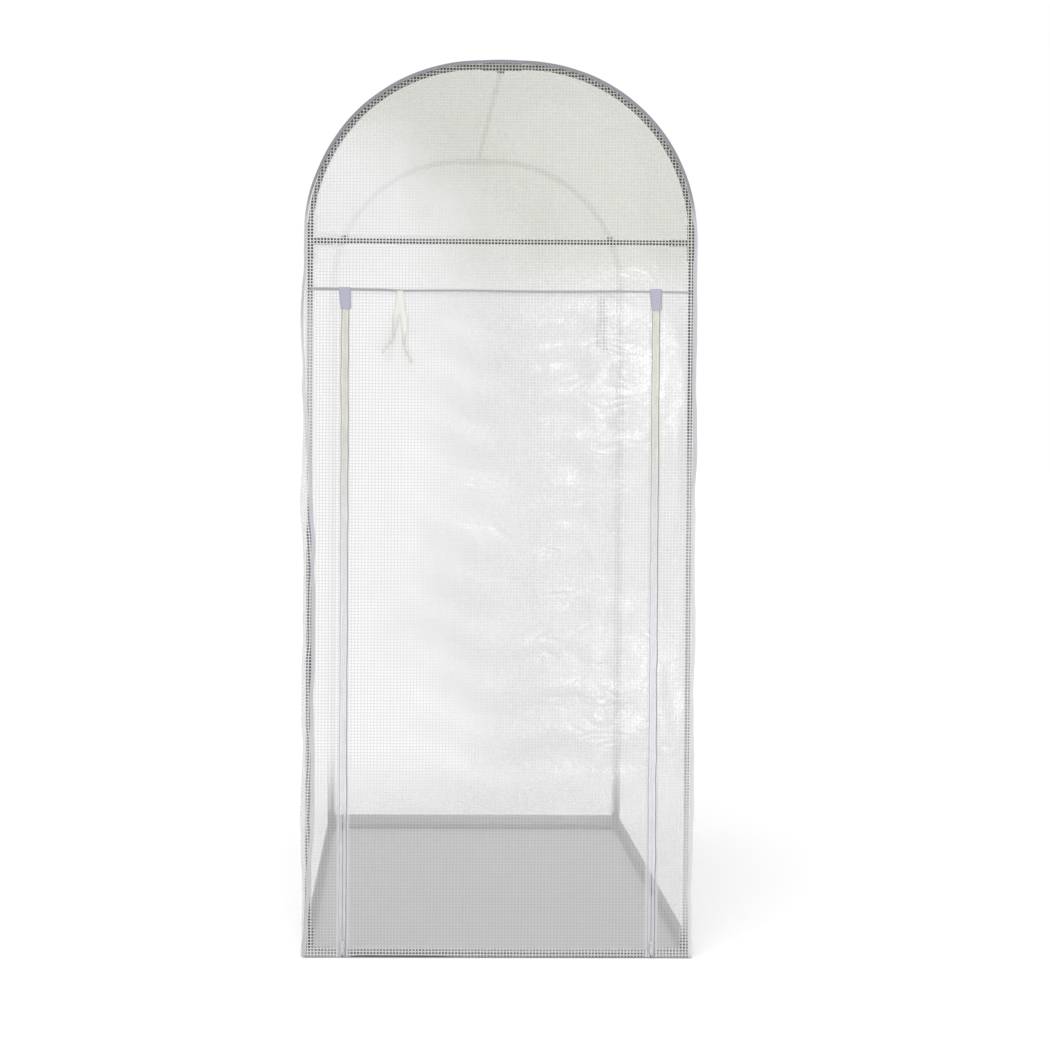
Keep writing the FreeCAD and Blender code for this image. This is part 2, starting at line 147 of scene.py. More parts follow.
# Lengths of the walls where the film hangs slack off its upright: side, lower and upper z, haze
SLACK_SPANS = ((1, 0.08, 1.32, 0.42), (1, 0.10, 0.36, 0.48),
               (-1, 1.16, 1.68, 0.36), (-1, 0.18, 0.66, 0.20))
SPAN_FADE = 0.08
COVER_SHARE = 0.5  # how dense the long sheet and the rear are beside the front
TOUCH_NEAR = math.hypot(COVER_X - FRAME_X, 0.0095)
TOUCH_FAR = math.hypot(COVER_X - FRAME_X, 0.0150)
CONNECTOR_WALL = 0.0035
CONNECTOR_REACH = 0.012
# Colours between and of the yarns: the gable, right-side and roof colours are painted shade, greyer than
# the clean film
MILK = (0.95, 0.95, 0.95)
MILK_GABLE_SHADED = (0.87, 0.87, 0.87)
MILK_SHADED = (0.625, 0.625, 0.625)
MILK_ROOF_SHADED = (0.548, 0.558, 0.505)
MILK_LOW = (0.88, 0.88, 0.88)
YARN = (0.67, 0.67, 0.67)
YARN_SHADED = (0.655, 0.655, 0.655)
YARN_ROOF_SHADED = (0.565, 0.575, 0.528)
YARN_LOW = (0.60, 0.60, 0.60)

# Door
PLEAT_L = 0.125  # spacing of the soft ripples across the door
PLEAT_D = 0.0042
CRINKLE_D = 0.0016
CRINKLE_COUNT = 170
# Where the door is crumpled: middle x and z, and spread of each
CRINKLE_PLACES = ((0.265, 1.52, 0.035, 0.10), (0.27, 0.66, 0.05, 0.07), (0.23, 1.05, 0.06, 0.22),
                  (-0.10, 0.90, 0.16, 0.35), (0.33, 1.25, 0.03, 0.22))
CRINKLE_TURN = 0.35
CRINKLE_L = (0.012, 0.035)
CRINKLE_W = (0.003, 0.005)
CRINKLE_SHARE = (0.4, 1.0)
DOOR_WRINKLE = 0.0006
DOOR_CELL_X = 0.007
DOOR_CELL_Z = 0.0035
TIE_X = 0.258
PINCH_W = 0.045  # the ripples flatten beside the ties
LIFTED_FROM = -0.36  # stretch of the lower edge that is drawn up off the front rail
LIFTED_TO = -0.19
LIFT = 0.004
HEM_CLEAR_Z = 0.28  # below this the door is flat, so that it gathers clear of its hem

# The cover sits a little askew: at the left front its edge laps round the upright onto the front
LAP = 0.021
LAP_FULL_Z = 1.05
LAP_NONE_Z = 1.60
CORNER_BEND = 0.03  # length of sheet that turns the corner
TURN_POINTS = 9

# Tapes and stitches
BINDING_FRONT_W = 0.0055  # on the front or rear panel
BINDING_TURN = 0.004  # further onto the front down the right wall
BINDING_ARCH = 0.003  # and over the arches
BINDING_SIDE_W = 0.010  # on the long sheet
# Lengths of the walls where the folded tape is painted paler, as painted light where more light falls on
# it: side, lower and upper z, share
LIT_TAPE_SPANS = ((1, -0.2, 1.20, 0.9), (-1, 1.34, 1.62, 0.9), (-1, 0.28, 0.62, 0.4))
LIT_TAPE = (0.68, 0.68, 0.695)
ARCH_TAPE = (0.25, 0.25, 0.28)  # the tape over the front arch, darkened by the tube under it
ARCH_TAPE_Z = (1.88, 1.97)
STITCH_PITCH = 0.0045
STITCH_L = 0.0031
STITCH_W = 0.0007
HEADER_ROWS = {"upper": 0.0014, "lower": -0.0014}
HEM_BAND = 0.006  # film folded back along its zips
EDGE_BEAD_H = 0.0006
TAB_RAISE = 0.011  # the tabs overlap the header tape
TAB_LEAN = {"left": 0.004, "right": 0.003}
TAB_ROWS = 15

# Ground sheet
GROUND_PITCH = 0.0028
GROUND_DARK = (0.325, 0.325, 0.328)
GROUND_LIGHT = (0.435, 0.435, 0.435)
GROUND_GAP = 0.0003
GROUND_LIFT = 0.0005
GROUND_WAVE = 0.0022
GROUND_REACH = 0.12  # from the edges, within which it lies flat

# Zip
TOOTH_PITCH = 0.003
TOOTH_FROM = 0.00045
TOOTH_TO = 0.0032
TOOTH_H = 0.0019
TOOTH_T = 0.0018
TAPE_T = 0.0005
TAPE_BEAD = 0.0006  # half width of the rounded outer edge
TAPE_INNER = 0.0012  # from the teeth's tips
ZIP_WEAVE = 0.0013
ZIP_FADE_LOW_Z = 0.95  # below this the zips look pale and half see-through
ZIP_FADE_TOP_Z = 1.68

# Ties: tails as (x, y, z) from the sewn end, with the twist of the tape in degrees at each point
TIE_W = 0.015
TIE_T = 0.0005
TIE_CLEAR = 0.35  # how clear the film is where the right tie lies against it
LEFT_TAILS = (
    ((0, 0, 0), (-0.003, -0.0004, -0.040), (-0.010, -0.003, -0.085), (-0.014, -0.006, -0.126),
     (-0.043, -0.0085, -0.160)),
    ((0, 0, 0), (0.006, -0.0004, -0.044), (0.012, -0.003, -0.090), (0.006, -0.006, -0.138),
     (0.033, -0.0085, -0.186)),
)
RIGHT_TAILS = (
    ((0, 0, 0), (-0.005, 0.002, -0.036), (-0.003, 0.004, -0.072), (-0.010, 0.006, -0.108),
     (-0.005, 0.007, -0.142)),
    ((0, 0, 0), (0.006, 0.002, -0.038), (0.010, 0.005, -0.076), (0.005, 0.007, -0.114),
     (0.013, 0.008, -0.150)),
)
LEFT_TWISTS = ((0, 0, 6, 40, 82, 78, 70), (0, 0, -6, -24, -80, -80, -74))
RIGHT_TWISTS = ((0, 8, 15, 30, 20), (0, -6, -24, -18, -40))

# Camera, fitted to the photograph
CAMERA_AT = (-0.2401, -3.4019, 1.3148)
CAMERA_PITCH = -0.75
CAMERA_YAW = -0.439
CAMERA_ROLL = 0.305
CAMERA_LENS = 38.878
CAMERA_SHIFT = (0.105, -0.060)
SENSOR = 36

# Studio: share of the white surroundings that lights the tent, then the floor and the lamps
AMBIENT = 0.40
FLOOR_GLOW = 0.10
FLOOR_REACH = 60.0
FLOOR_DROP = 0.0005
SUN = 2.2
SUN_SPREAD = 70
SUN_TURN = (16, -10, 0)
KEY = 12.0
KEY_AT = (0.75, -3.4, 1.7)
KEY_SIZE = (0.9, 3.2)
KEY_TURN = (90, 0, 8)
GLINTS = (((0.84, -3.4, 1.72), 3.5), ((0.80, -3.4, 0.15), 2.5))
GLINT_SIZE = 0.20
GLINT_TURN = (90, 0, 10)

WAVES = np.random.default_rng(7)


def smooth(value, start, end):
    """0 before start, 1 after end, and an even S between."""
    t = np.clip((np.asarray(value, float) - start) / (end - start), 0, 1)
    return t * t * (3 - 2 * t)


def ripple_field(length, count=9):
    """Smooth random waves of about one length in every direction, within about 1 either way."""
    turn = WAVES.uniform(0, math.pi, count)
    phase = WAVES.uniform(0, 2 * math.pi, count)
    rate = 2 * math.pi / (length * WAVES.uniform(0.7, 1.5, count))

    def field(u, v):
        total = 0
        for k in range(count):
            total = total + np.sin(rate[k] * (u * math.cos(turn[k]) + v * math.sin(turn[k])) + phase[k])
        return total / math.sqrt(count)

    return field


def crease_field(spacing, count=24):
    """Straight folds left from packing, about spacing apart, some raised and some sunk."""
    at = (np.arange(count) - count / 2) * spacing + WAVES.uniform(-0.2, 0.2, count) * spacing
    height = CREASE_H * WAVES.choice([-1.0, 1.0], count) * WAVES.uniform(0.4, 1.0, count)

    def field(along):
        total = 0
        for place, tall in zip(at, height):
            total = total + tall * np.exp(-(((along - place) / CREASE_W) ** 2))
        return total

    return field


def crinkle_field(count, places):
    """Short sharp creases, mostly level, scattered about a few places."""
    spots = []
    for _ in range(count):
        px, pz, wide, tall = places[WAVES.integers(len(places))]
        at = (px + WAVES.normal(0, wide), pz + WAVES.normal(0, tall))
        turn = WAVES.normal(0, CRINKLE_TURN)
        size = [WAVES.uniform(*limits) for limits in (CRINKLE_L, CRINKLE_W, CRINKLE_SHARE)]
        spots.append((*at, math.cos(turn), math.sin(turn), *size))

    def field(x, z):
        total = 0 * x
        for px, pz, c, s, length, width, height in spots:
            along = ((x - px) * c + (z - pz) * s) / length
            beside = ((z - pz) * c - (x - px) * s) / width
            total = np.maximum(total, height * np.exp(-(along ** 2) - beside ** 2))
        return total

    return field


# Random forms: the order of these lines is the order of the draws
SEAM_WAVE = {"front": ripple_field(0.34), "rear": ripple_field(0.40)}
SEAM_KINK = {"front": ripple_field(0.09), "rear": ripple_field(0.11)}
BODY_BILLOW = ripple_field(0.75)
BODY_WRINKLE = ripple_field(0.16, 14)
PANEL_WRINKLE = ripple_field(0.19, 14)
PANEL_BILLOW = ripple_field(0.60)
ACROSS_FOLDS = crease_field(0.26)
ALONG_FOLDS = crease_field(0.24)
DOOR_CRINKLES = crinkle_field(CRINKLE_COUNT, CRINKLE_PLACES)


def section(s, out=0.0):
    """Points of the cover's section s metres from the left hem, moved out along the normal."""
    s = np.asarray(s, float)
    first = np.clip((s - WALL_L) / ARCH_R, 0, math.pi / 2)
    second = np.clip((s - WALL_L - BEND_L - CROWN_L) / ARCH_R, 0, math.pi / 2)
    angle = math.pi - first - second
    across = np.clip(s - WALL_L - BEND_L, 0, CROWN_L) - CROWN_HALF
    left_drop = np.minimum(s - WALL_L, 0)
    right_drop = np.minimum(SECTION_L - WALL_L - s, 0)
    x = across + (ARCH_R + out) * np.cos(angle)
    z = SPRING_Z + (ARCH_R + out) * np.sin(angle) + left_drop + right_drop
    return x, z


def seam_slack(s, end):
    """How far the sewn edge stands off the frame: most on the left wall, least over the arch."""
    s = np.asarray(s, float)
    left = 1 - smooth(s, WALL_L - 0.25, WALL_L + 0.25)
    right = smooth(s, SECTION_L - WALL_L - 0.2, SECTION_L - WALL_L + 0.4)
    foot = smooth(np.minimum(s, SECTION_L - s), 0.0, 0.25)

    def by_wall(on_left, on_right, least):
        return on_left * left + on_right * right + least

    depth = SLACK_LEAST + by_wall(SLACK_LEFT, SLACK_RIGHT, 0) * (0.45 + 0.55 * foot)
    wave = SEAM_WAVE[end](s, 0 * s) * by_wall(*SEAM_WAVE_H)
    kink = SEAM_KINK[end](s, 0 * s) * by_wall(*SEAM_KINK_H)
    peak = PEAK_H * np.exp(-(((s - SECTION_L / 2) / PEAK_W) ** 2))
    return np.maximum(depth + wave + kink, 0.0) + peak


def lap_share(s, end):
    """1 where the long sheet's edge lies on the front, beside the left upright, and 0 at the corner."""
    z = np.asarray(s, float) + HEM_Z
    share = (1 - smooth(z, LAP_FULL_Z, LAP_NONE_Z)) * (0.35 + 0.65 * smooth(z, 0.0, 0.35))
    return share if end == "front" else 0 * z


def seam_offset(s, end):
    """Place of the sewn edge in the panel's plane, measured out from the section."""
    share = lap_share(s, end)
    kink = SEAM_KINK[end](s * 0.8, 0 * s + 0.3) * LAP_KINK_H * share
    return seam_slack(s, end) * (1 - share) - LAP * share + kink


def frame_distance(x, y, z):
    """Distance of points from the middle of the nearest tube."""
    inside = ARCH_R - np.hypot(np.maximum(np.abs(x) - CROWN_HALF, 0), np.maximum(z - SPRING_Z, 0))
    from_end = np.abs(y) - FRAME_Y
    reach = np.hypot(inside - (COVER_X - FRAME_X), from_end)
    for other in (np.hypot(z - CROSSBAR_Z, from_end), np.hypot(x, z - RIDGE_Z),
                  np.hypot(np.abs(x) - FRAME_X, z - RAIL_Z), np.hypot(from_end, z - RAIL_Z)):
        reach = np.minimum(reach, other)
    return reach - CONNECTOR_WALL * near_connector(x, y, z)


def near_connector(x, y, z):
    """1 beside a connector, which is thicker than the tubes that it joins."""
    beside = 0 * x
    for name in NODES:
        if "connector" in name:
            low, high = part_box(name)
            inside = np.ones(np.shape(x), bool)
            for value, start, end in zip((x, y, z), low, high):
                inside &= (value > start - CONNECTOR_REACH) & (value < end + CONNECTOR_REACH)
            beside = np.where(inside, 1.0, beside)
    return beside


def new_piece(name, verts, faces, material, body="tent", is_smooth=True):
    """Mesh object that rides on a body, with its material."""
    mesh = bpy.data.meshes.new(name)
    mesh.from_pydata([tuple(v) for v in verts], [], faces)
    mesh.update()
    piece = bpy.data.objects.new(name, mesh)
    bpy.context.scene.collection.objects.link(piece)
    mesh.materials.append(material)
    if is_smooth:
        mesh.polygons.foreach_set("use_smooth", [True] * len(mesh.polygons))
    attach(piece, body)
    return piece


def grid_faces(rows, columns):
    """Quads of a grid whose points run along its columns first."""
    faces = []
    for i in range(rows - 1):
        for j in range(columns - 1):
            a = i * columns + j
            faces.append((a, a + 1, a + columns + 1, a + columns))
    return faces


def line_of(x, y, z):
    """Points from three arrays, of which some may be single numbers."""
    return np.stack(np.broadcast_arrays(x, y, z), axis=-1)


def edge_band(distance, width):
    """1 within a width of an edge."""
    return 1 - smooth(distance, width - HEM_FADE, width + HEM_FADE)


def set_value(mesh, name, values):
    """Number at each point of a mesh, for a material to read."""
    layer = mesh.attributes.new(name, "FLOAT", "POINT")
    layer.data.foreach_set("value", np.ravel(values).astype(np.float32))


def set_film_map(piece, u, v, hem, touch=0.0):
    """Flat map in metres for the film's grid, how far it is folded double, and how near a tube is."""
    mesh = piece.data
    layer = mesh.uv_layers.new(name="film")
    corner = np.zeros(len(mesh.loops), int)
    mesh.loops.foreach_get("vertex_index", corner)
    flat = np.stack([np.ravel(u)[corner], np.ravel(v)[corner]], axis=1)
    layer.uv.foreach_set("vector", flat.astype(np.float32).ravel())
    place = np.zeros(3 * len(mesh.vertices))
    mesh.vertices.foreach_get("co", place)
    set_value(mesh, "hem", hem)
    touched = TOUCH_FAR - (TOUCH_FAR - TOUCH_NEAR) * np.ravel(touch)
    set_value(mesh, "tube_distance", np.minimum(frame_distance(*place.reshape(-1, 3).T), touched))


def film_grid(name, x, y, z, u, v, hem, material, body="tent", touch=0.0):
    """Film sheet from grids of places and of flat coordinates."""
    verts = line_of(x, y, z).reshape(-1, 3)
    piece = new_piece(name, verts, grid_faces(*x.shape), material, body)
    set_film_map(piece, u, v, hem, touch)
    return piece


def steps(length, cell=CELL):
    """Number of mesh points along a length."""
    return max(2, int(round(length / cell)) + 1)


# Materials


class Value:
    """Number, vector or colour in a node tree. Sums with it make math nodes."""

    def __init__(self, tree, socket):
        self.tree = tree
        self.socket = socket

    def math(self, operation, *others):
        """Math node on this value and others."""
        return math_node(self.tree, operation, self, *others)

    def __add__(self, other):
        return self.math("ADD", other)

    def __sub__(self, other):
        return self.math("SUBTRACT", other)

    def __rsub__(self, other):
        return math_node(self.tree, "SUBTRACT", other, self)

    def __mul__(self, other):
        return self.math("MULTIPLY", other)

    def __abs__(self):
        return self.math("ABSOLUTE")


def put(socket, value):
    """Link a socket, or set a plain value."""
    if isinstance(value, Value):
        value.tree.links.new(value.socket, socket)
    else:
        socket.default_value = value


def new_node(tree, kind, inputs=None, **settings):
    """Node of a kind, with its settings and named inputs."""
    node = tree.nodes.new("ShaderNode" + kind)
    for name, value in settings.items():
        setattr(node, name, value)
    for name, value in (inputs or {}).items():
        put(node.inputs[name], value)
    return node


def math_node(tree, operation, *values):
    """Result of a sum."""
    node = new_node(tree, "Math", operation=operation)
    for socket, value in zip(node.inputs, values):
        put(socket, value)
    return Value(tree, node.outputs[0])


def mix(share, first, second):
    """Mix of two numbers."""
    node = new_node(share.tree, "Mix", data_type="FLOAT")
    numbers = [s for s in node.inputs if s.type == "VALUE"]
    for socket, value in zip(numbers, (share, first, second)):
        put(socket, value)
    return Value(share.tree, node.outputs[0])


def mix_colour(share, first, second):
    """Mix of two colours."""
    node = new_node(share.tree, "Mix", {"Factor": share}, data_type="RGBA")
    colours = [s for s in node.inputs if s.type == "RGBA"]
    for socket, colour in zip(colours, (first, second)):
        put(socket, colour if isinstance(colour, Value) else (*colour, 1.0))
    return Value(share.tree, next(s for s in node.outputs if s.type == "RGBA"))


def ramp(value, low, high, to_low=0.0, to_high=1.0):
    """Smooth map of a value from one range to another."""
    ends = {"Value": value, "From Min": low, "From Max": high, "To Min": to_low, "To Max": to_high}
    node = new_node(value.tree, "MapRange", ends, interpolation_type="SMOOTHSTEP")
    return Value(value.tree, node.outputs["Result"])


def noise(where, scale, detail=3.0, roughness=0.5):
    """Noise texture's value at a place."""
    inputs = {"Vector": where, "Scale": scale, "Detail": detail, "Roughness": roughness}
    return Value(where.tree, new_node(where.tree, "TexNoise", inputs).outputs["Fac"])


def split(vector):
    """X, Y and Z of a vector."""
    node = new_node(vector.tree, "SeparateXYZ", {"Vector": vector})
    return [Value(vector.tree, socket) for socket in node.outputs]


def mesh_value(tree, name):
    """Number that a mesh carries at its points."""
    return Value(tree, new_node(tree, "Attribute", attribute_name=name).outputs["Fac"])


def off_middle(value):
    """How far a value is from the middle of its whole step."""
    return abs(value.math("FRACT") - 0.5)


def stripes(value, spacing, share, soft=0.05):
    """1 on evenly spaced lines that cover a share of their spacing."""
    edge = 0.5 - share / 2
    return ramp(off_middle(value.math("DIVIDE", spacing)), edge - soft, edge + soft)


def along_spans(x, z, value, spans):
    """A number that changes to another along some lengths of the left or right wall."""
    for side, low_z, high_z, other in spans:
        beside = ramp(x * float(side), 0.05, 0.15)
        above = ramp(z, low_z - SPAN_FADE, low_z + SPAN_FADE)
        below = ramp(z, high_z - SPAN_FADE, high_z + SPAN_FADE, 1.0, 0.0)
        value = mix(beside * above * below, value, other)
    return value


def new_material(name):
    """Material, the inputs of its Principled shader, and its place in the row's frame."""
    material = bpy.data.materials.new(name)
    material.use_nodes = True
    tree = material.node_tree
    place = Value(tree, new_node(tree, "TexCoord").outputs["Object"])
    return material, tree.nodes["Principled BSDF"].inputs, place


def set_roughness(shader, cloud, low, high):
    """Roughness that follows a noise."""
    put(shader["Roughness"], ramp(cloud, 0.3, 0.7, low, high))


def add_bump(shader, height, distance, strength=1.0):
    """Relief on a shader."""
    inputs = {"Strength": strength, "Distance": distance, "Height": height}
    bump = new_node(height.tree, "Bump", inputs)
    put(shader["Normal"], Value(height.tree, bump.outputs["Normal"]))


def film_material(name, density, low_from, low_to):
    """Film with a laid-in grid of yarn, clear against a tube, glossy and crumpled; painted shade greys its
    right side, past a patchy edge, and its part above the header.
    """
    material, shader, place = new_material(name)
    tree = material.node_tree
    x, y, z = split(place)
    u, v, _ = split(Value(tree, new_node(tree, "UVMap", uv_map="film").outputs["UV"]))
    stray = (noise(place, 9.0, 2.0) - 0.5) * YARN_STRAY
    across = stripes(u + stray, GRID_X, YARN_SHARE)
    yarn = across.math("MAXIMUM", stripes(v + stray, GRID_Z, YARN_SHARE))

    # Painted shade: to the right of a patchy edge the film is painted greyer
    patch = noise(place, 2.2, 3.0, 0.6) - 0.5
    crown = ramp(z, SPRING_Z, SPRING_Z + ARCH_R, 0.0, CROWN_SHADE_SHIFT)
    cloud = ramp(patch * PATCH_SHIFT + x + crown, CLEAR_X, SHADED_X)
    low = ramp(z, low_from, low_to, 1.0, 0.0)
    # Painted shade above the header: the gable and roof film are painted greyer, and greener on the right
    roof = ramp(z, HEADER_Z - 0.01, HEADER_Z + 0.12)
    touching = ramp(mesh_value(tree, "tube_distance"), TOUCH_NEAR, TOUCH_FAR, 1.0, 0.0)

    haze = mix(cloud, HAZE, mix(roof, HAZE_SHADED, HAZE_ROOF_SHADED))
    haze = mix(low, haze, HAZE_LOW)
    haze = mix(touching, haze, along_spans(x, z, HAZE_TOUCH, SLACK_SPANS))
    dense = mix(low * (1.0 - touching), YARN_ALPHA, YARN_ALPHA_LOW)
    dense = mix(touching * ramp(z, *ARCH_TAPE_Z), dense, YARN_ALPHA_ARCH)
    alpha = mix(mesh_value(tree, "hem") * HEM_DENSER, mix(yarn, haze, dense), 1.0)
    put(shader["Alpha"], alpha * mix(touching, density, 1.0))

    # Painted shade colours: milk and yarn turn greyer to the right and above the header
    milk = mix_colour(cloud, mix_colour(roof, MILK, MILK_GABLE_SHADED), mix_colour(roof, MILK_SHADED, MILK_ROOF_SHADED))
    milk = mix_colour(low, milk, MILK_LOW)
    thread = mix_colour(cloud, YARN, mix_colour(roof, YARN_SHADED, YARN_ROOF_SHADED))
    thread = mix_colour(low, thread, YARN_LOW)
    put(shader["Base Color"], mix_colour(yarn, milk, thread))
    set_roughness(shader, noise(place, 14.0), *FILM_ROUGHNESS)
    put(shader["Specular IOR Level"], FILM_SHINE)
    crumple = noise(place, 34.0, 4.0, 0.6) * 1.6
    add_bump(shader, yarn * 0.35 + crumple, 0.0011, 0.8)
    return material


def woven_material(name, light, dark, spacing, roughness=0.75, relief=0.0002, lit_spans=()):
    """Plain woven cloth or tape: threads over and under, with soft uneven colour."""
    material, shader, place = new_material(name)
    x, y, z = split(place)
    rate = 2 * math.pi / spacing
    over = ((x + y) * rate).math("SINE")
    under = (z * rate).math("SINE")
    weave = over * under * 0.5 + 0.5
    cloud = noise(place, 18.0, 4.0, 0.6)
    colour = mix_colour(weave * 0.45 + cloud * 0.55, dark, light)
    # Painted light: stretches of the tape painted paler, as where more light falls on it
    if lit_spans:
        colour = mix_colour(along_spans(x, z, 0.0, lit_spans), colour, LIT_TAPE)
        front = ramp(y, -0.1, 0.1, 1.0, 0.0)
        colour = mix_colour(ramp(z, *ARCH_TAPE_Z) * front, colour, ARCH_TAPE)
    put(shader["Base Color"], colour)
    set_roughness(shader, cloud, roughness - 0.08, roughness + 0.08)
    add_bump(shader, weave, relief)
    return material


def zip_material(name, low_colour, top_colour, low_alpha, top_alpha, roughness=0.6):
    """Zip tape or coil: creamy and dense towards the top, paler and half see-through lower down."""
    material, shader, place = new_material(name)
    tree = material.node_tree
    x, y, z = split(place)
    weave = stripes(z, ZIP_WEAVE, 0.5, 0.2)
    cloud = noise(place, 22.0, 4.0, 0.6)
    top = ramp(cloud * 0.2 + z, ZIP_FADE_LOW_Z, ZIP_FADE_TOP_Z)
    shade = new_node(tree, "VectorMath", {"Scale": weave * 0.12 + cloud * 0.24 + 0.80}, operation="SCALE")
    put(shade.inputs[0], mix_colour(top, low_colour, top_colour))
    put(shader["Base Color"], Value(tree, shade.outputs[0]))
    put(shader["Alpha"], mix(top, low_alpha, top_alpha))
    set_roughness(shader, cloud, roughness - 0.1, roughness + 0.1)
    add_bump(shader, weave, 0.0001)
    return material


def ground_material():
    """Grey woven ground sheet: flat tapes over and under, laminated and a little shiny, painted darker on
    its turned-up sides as painted shade.
    """
    material, shader, place = new_material("grey_woven_sheet")
    x, y, z = split(place)
    column = (x + z).math("DIVIDE", GROUND_PITCH)
    row = (y + z).math("DIVIDE", GROUND_PITCH)
    over = abs((column.math("FLOOR") + row.math("FLOOR")).math("MODULO", 2.0))
    weave = mix(over, 1.0 - off_middle(row), 1.0 - off_middle(column))
    cloud = noise(place, 5.0, 4.0, 0.6)
    # Painted shade: the turned-up sides are painted darker than the flat ground
    share = weave * 0.3 + cloud * 0.6 - ramp(z, 0.004, 0.02, 0.0, 0.15)
    put(shader["Base Color"], mix_colour(share, GROUND_DARK, GROUND_LIGHT))
    set_roughness(shader, cloud, 0.45, 0.6)
    add_bump(shader, cloud * 2.0 + weave, 0.0005)
    return material


def coated_material(name, colour, worn, roughness, grain, relief):
    """Powder coat or moulded plastic: fine grain, faint clouding and scuffs."""
    material, shader, place = new_material(name)
    speckle = noise(place, grain, 3.0, 0.6)
    scuff = ramp(noise(place, 60.0, 5.0, 0.7), 0.62, 0.78)
    put(shader["Base Color"], mix_colour(scuff, colour, worn))
    set_roughness(shader, speckle, roughness - 0.1, roughness + 0.1)
    add_bump(shader, speckle, relief, 0.6)
    return material


def metal_material():
    """Lacquered zinc of the zip sliders, rubbed bright in places."""
    material, shader, place = new_material("zip_zinc")
    rubbed = ramp(noise(place, 240.0, 4.0, 0.6), 0.4, 0.7)
    put(shader["Base Color"], mix_colour(rubbed, (0.52, 0.52, 0.54), (0.70, 0.70, 0.72)))
    put(shader["Metallic"], 0.7)
    put(shader["Roughness"], ramp(rubbed, 0.0, 1.0, 0.42, 0.26))
    return material


FRONT_FILM = film_material("front_grid_film", 1.0, *LOW_FRONT)
COVER_FILM = film_material("cover_grid_film", COVER_SHARE, *LOW_COVER)
GROUND = ground_material()
BINDING = woven_material("seam_tape_woven", (0.60, 0.595, 0.635), (0.46, 0.455, 0.49), 0.0016, 0.7,
                         lit_spans=LIT_TAPE_SPANS)
HEADER = woven_material("header_tape_woven", (0.42, 0.42, 0.44), (0.31, 0.31, 0.33), 0.0016, 0.7)
# Beads of the film edges by side: painted light makes the left-hand one paler, painted shade the right-hand
# one darker
EDGES = {-1: zip_material("film_edge_painted_light", (0.62, 0.62, 0.72), (0.46, 0.46, 0.44), 0.5, 0.7, 0.5),
         1: zip_material("film_edge_painted_shade", (0.34, 0.34, 0.36), (0.34, 0.34, 0.32), 0.6, 0.8, 0.5)}
TAB = woven_material("tab_webbing", (0.49, 0.485, 0.59), (0.36, 0.355, 0.45), 0.0021, 0.7)
THREAD = woven_material("sewing_thread", (0.62, 0.62, 0.66), (0.46, 0.46, 0.50), 0.0006, 0.6, 0.0001)
ZIP_TAPE = zip_material("zip_tape_woven", (0.95, 0.95, 1.0), (0.89, 0.87, 0.77), 0.45, 0.92, 0.8)
COIL = zip_material("zip_coil_nylon", (0.85, 0.85, 0.90), (0.80, 0.78, 0.70), 0.45, 0.85, 0.45)
COTTON = woven_material("tie_cotton_twill", (0.88, 0.88, 0.83), (0.75, 0.75, 0.70), 0.0014, 0.9, 0.0003)
STEEL = coated_material("dark_powder_coat", (0.030, 0.031, 0.033), (0.06, 0.06, 0.064),
                        0.42, 900.0, 0.00012)
PLASTIC = coated_material("black_moulded_plastic", (0.017, 0.017, 0.019), (0.035, 0.035, 0.037),
                          0.5, 500.0, 0.0001)
ZINC = metal_material()


# Cover


def cover_body(s, y):
    """How far the long sheet stands out from its section: slack seams, sagging roof, rippled walls."""
    near_front = 1 - smooth(y, -COVER_Y, -COVER_Y + SEAM_REACH)
    near_rear = smooth(y, COVER_Y - SEAM_REACH, COVER_Y)
    free = (1 - near_front) * (1 - near_rear)
    from_hem = np.minimum(s, SECTION_L - s)
    height = smooth(from_hem, 0.04, 0.30)
    on_wall = 1 - smooth(from_hem, WALL_L - 0.1, WALL_L + 0.1)
    from_crown = np.abs(s - SECTION_L / 2)
    span = 1 - (y / COVER_Y) ** 2
    roof_sag = -ROOF_SAG * span * smooth(from_crown, 0.03, 0.30) * (1 - on_wall)
    billow = BODY_BILLOW(s, y) * WALL_BILLOW * on_wall * height
    pull = WALL_PULL * on_wall * height * np.sin(math.pi * (y / COVER_Y + 1) / 2)
    wrinkle = BODY_WRINKLE(s, y) * WALL_WRINKLE * height
    folds = (ACROSS_FOLDS(s - SECTION_L / 2) + ALONG_FOLDS(y)) * smooth(from_crown, 0.02, 0.1)
    slack = near_front * seam_slack(s, "front") + near_rear * seam_slack(s, "rear")
    return slack + free * (roof_sag + billow + pull + wrinkle + folds)


def corner_turn(s, start_out):
    """Front edge of the long sheet round the corner to its seam: out from the section, y and flat y."""
    p = np.linspace(0, 1, TURN_POINTS + 1)[:-1][None, :]
    seam_out = seam_offset(s, "front")[:, None]
    corner_out = seam_slack(s, "front")[:, None]
    wall_out = start_out[:, None]
    near_seam = seam_out + (corner_out - seam_out) * 0.85
    near_wall = wall_out + (corner_out - wall_out) * 0.85
    weights = ((1 - p) ** 3, 3 * (1 - p) ** 2 * p, 3 * (1 - p) * p ** 2, p ** 3)
    places = (seam_out, near_seam, near_wall, wall_out)
    out = sum(weight * place for weight, place in zip(weights, places))
    back = (weights[2] * 0.15 + weights[3]) * CORNER_BEND
    flat = CORNER_BEND - (1 - p) * (CORNER_BEND + corner_out - seam_out)
    return out, -COVER_Y + back + 0 * out, -COVER_Y + flat


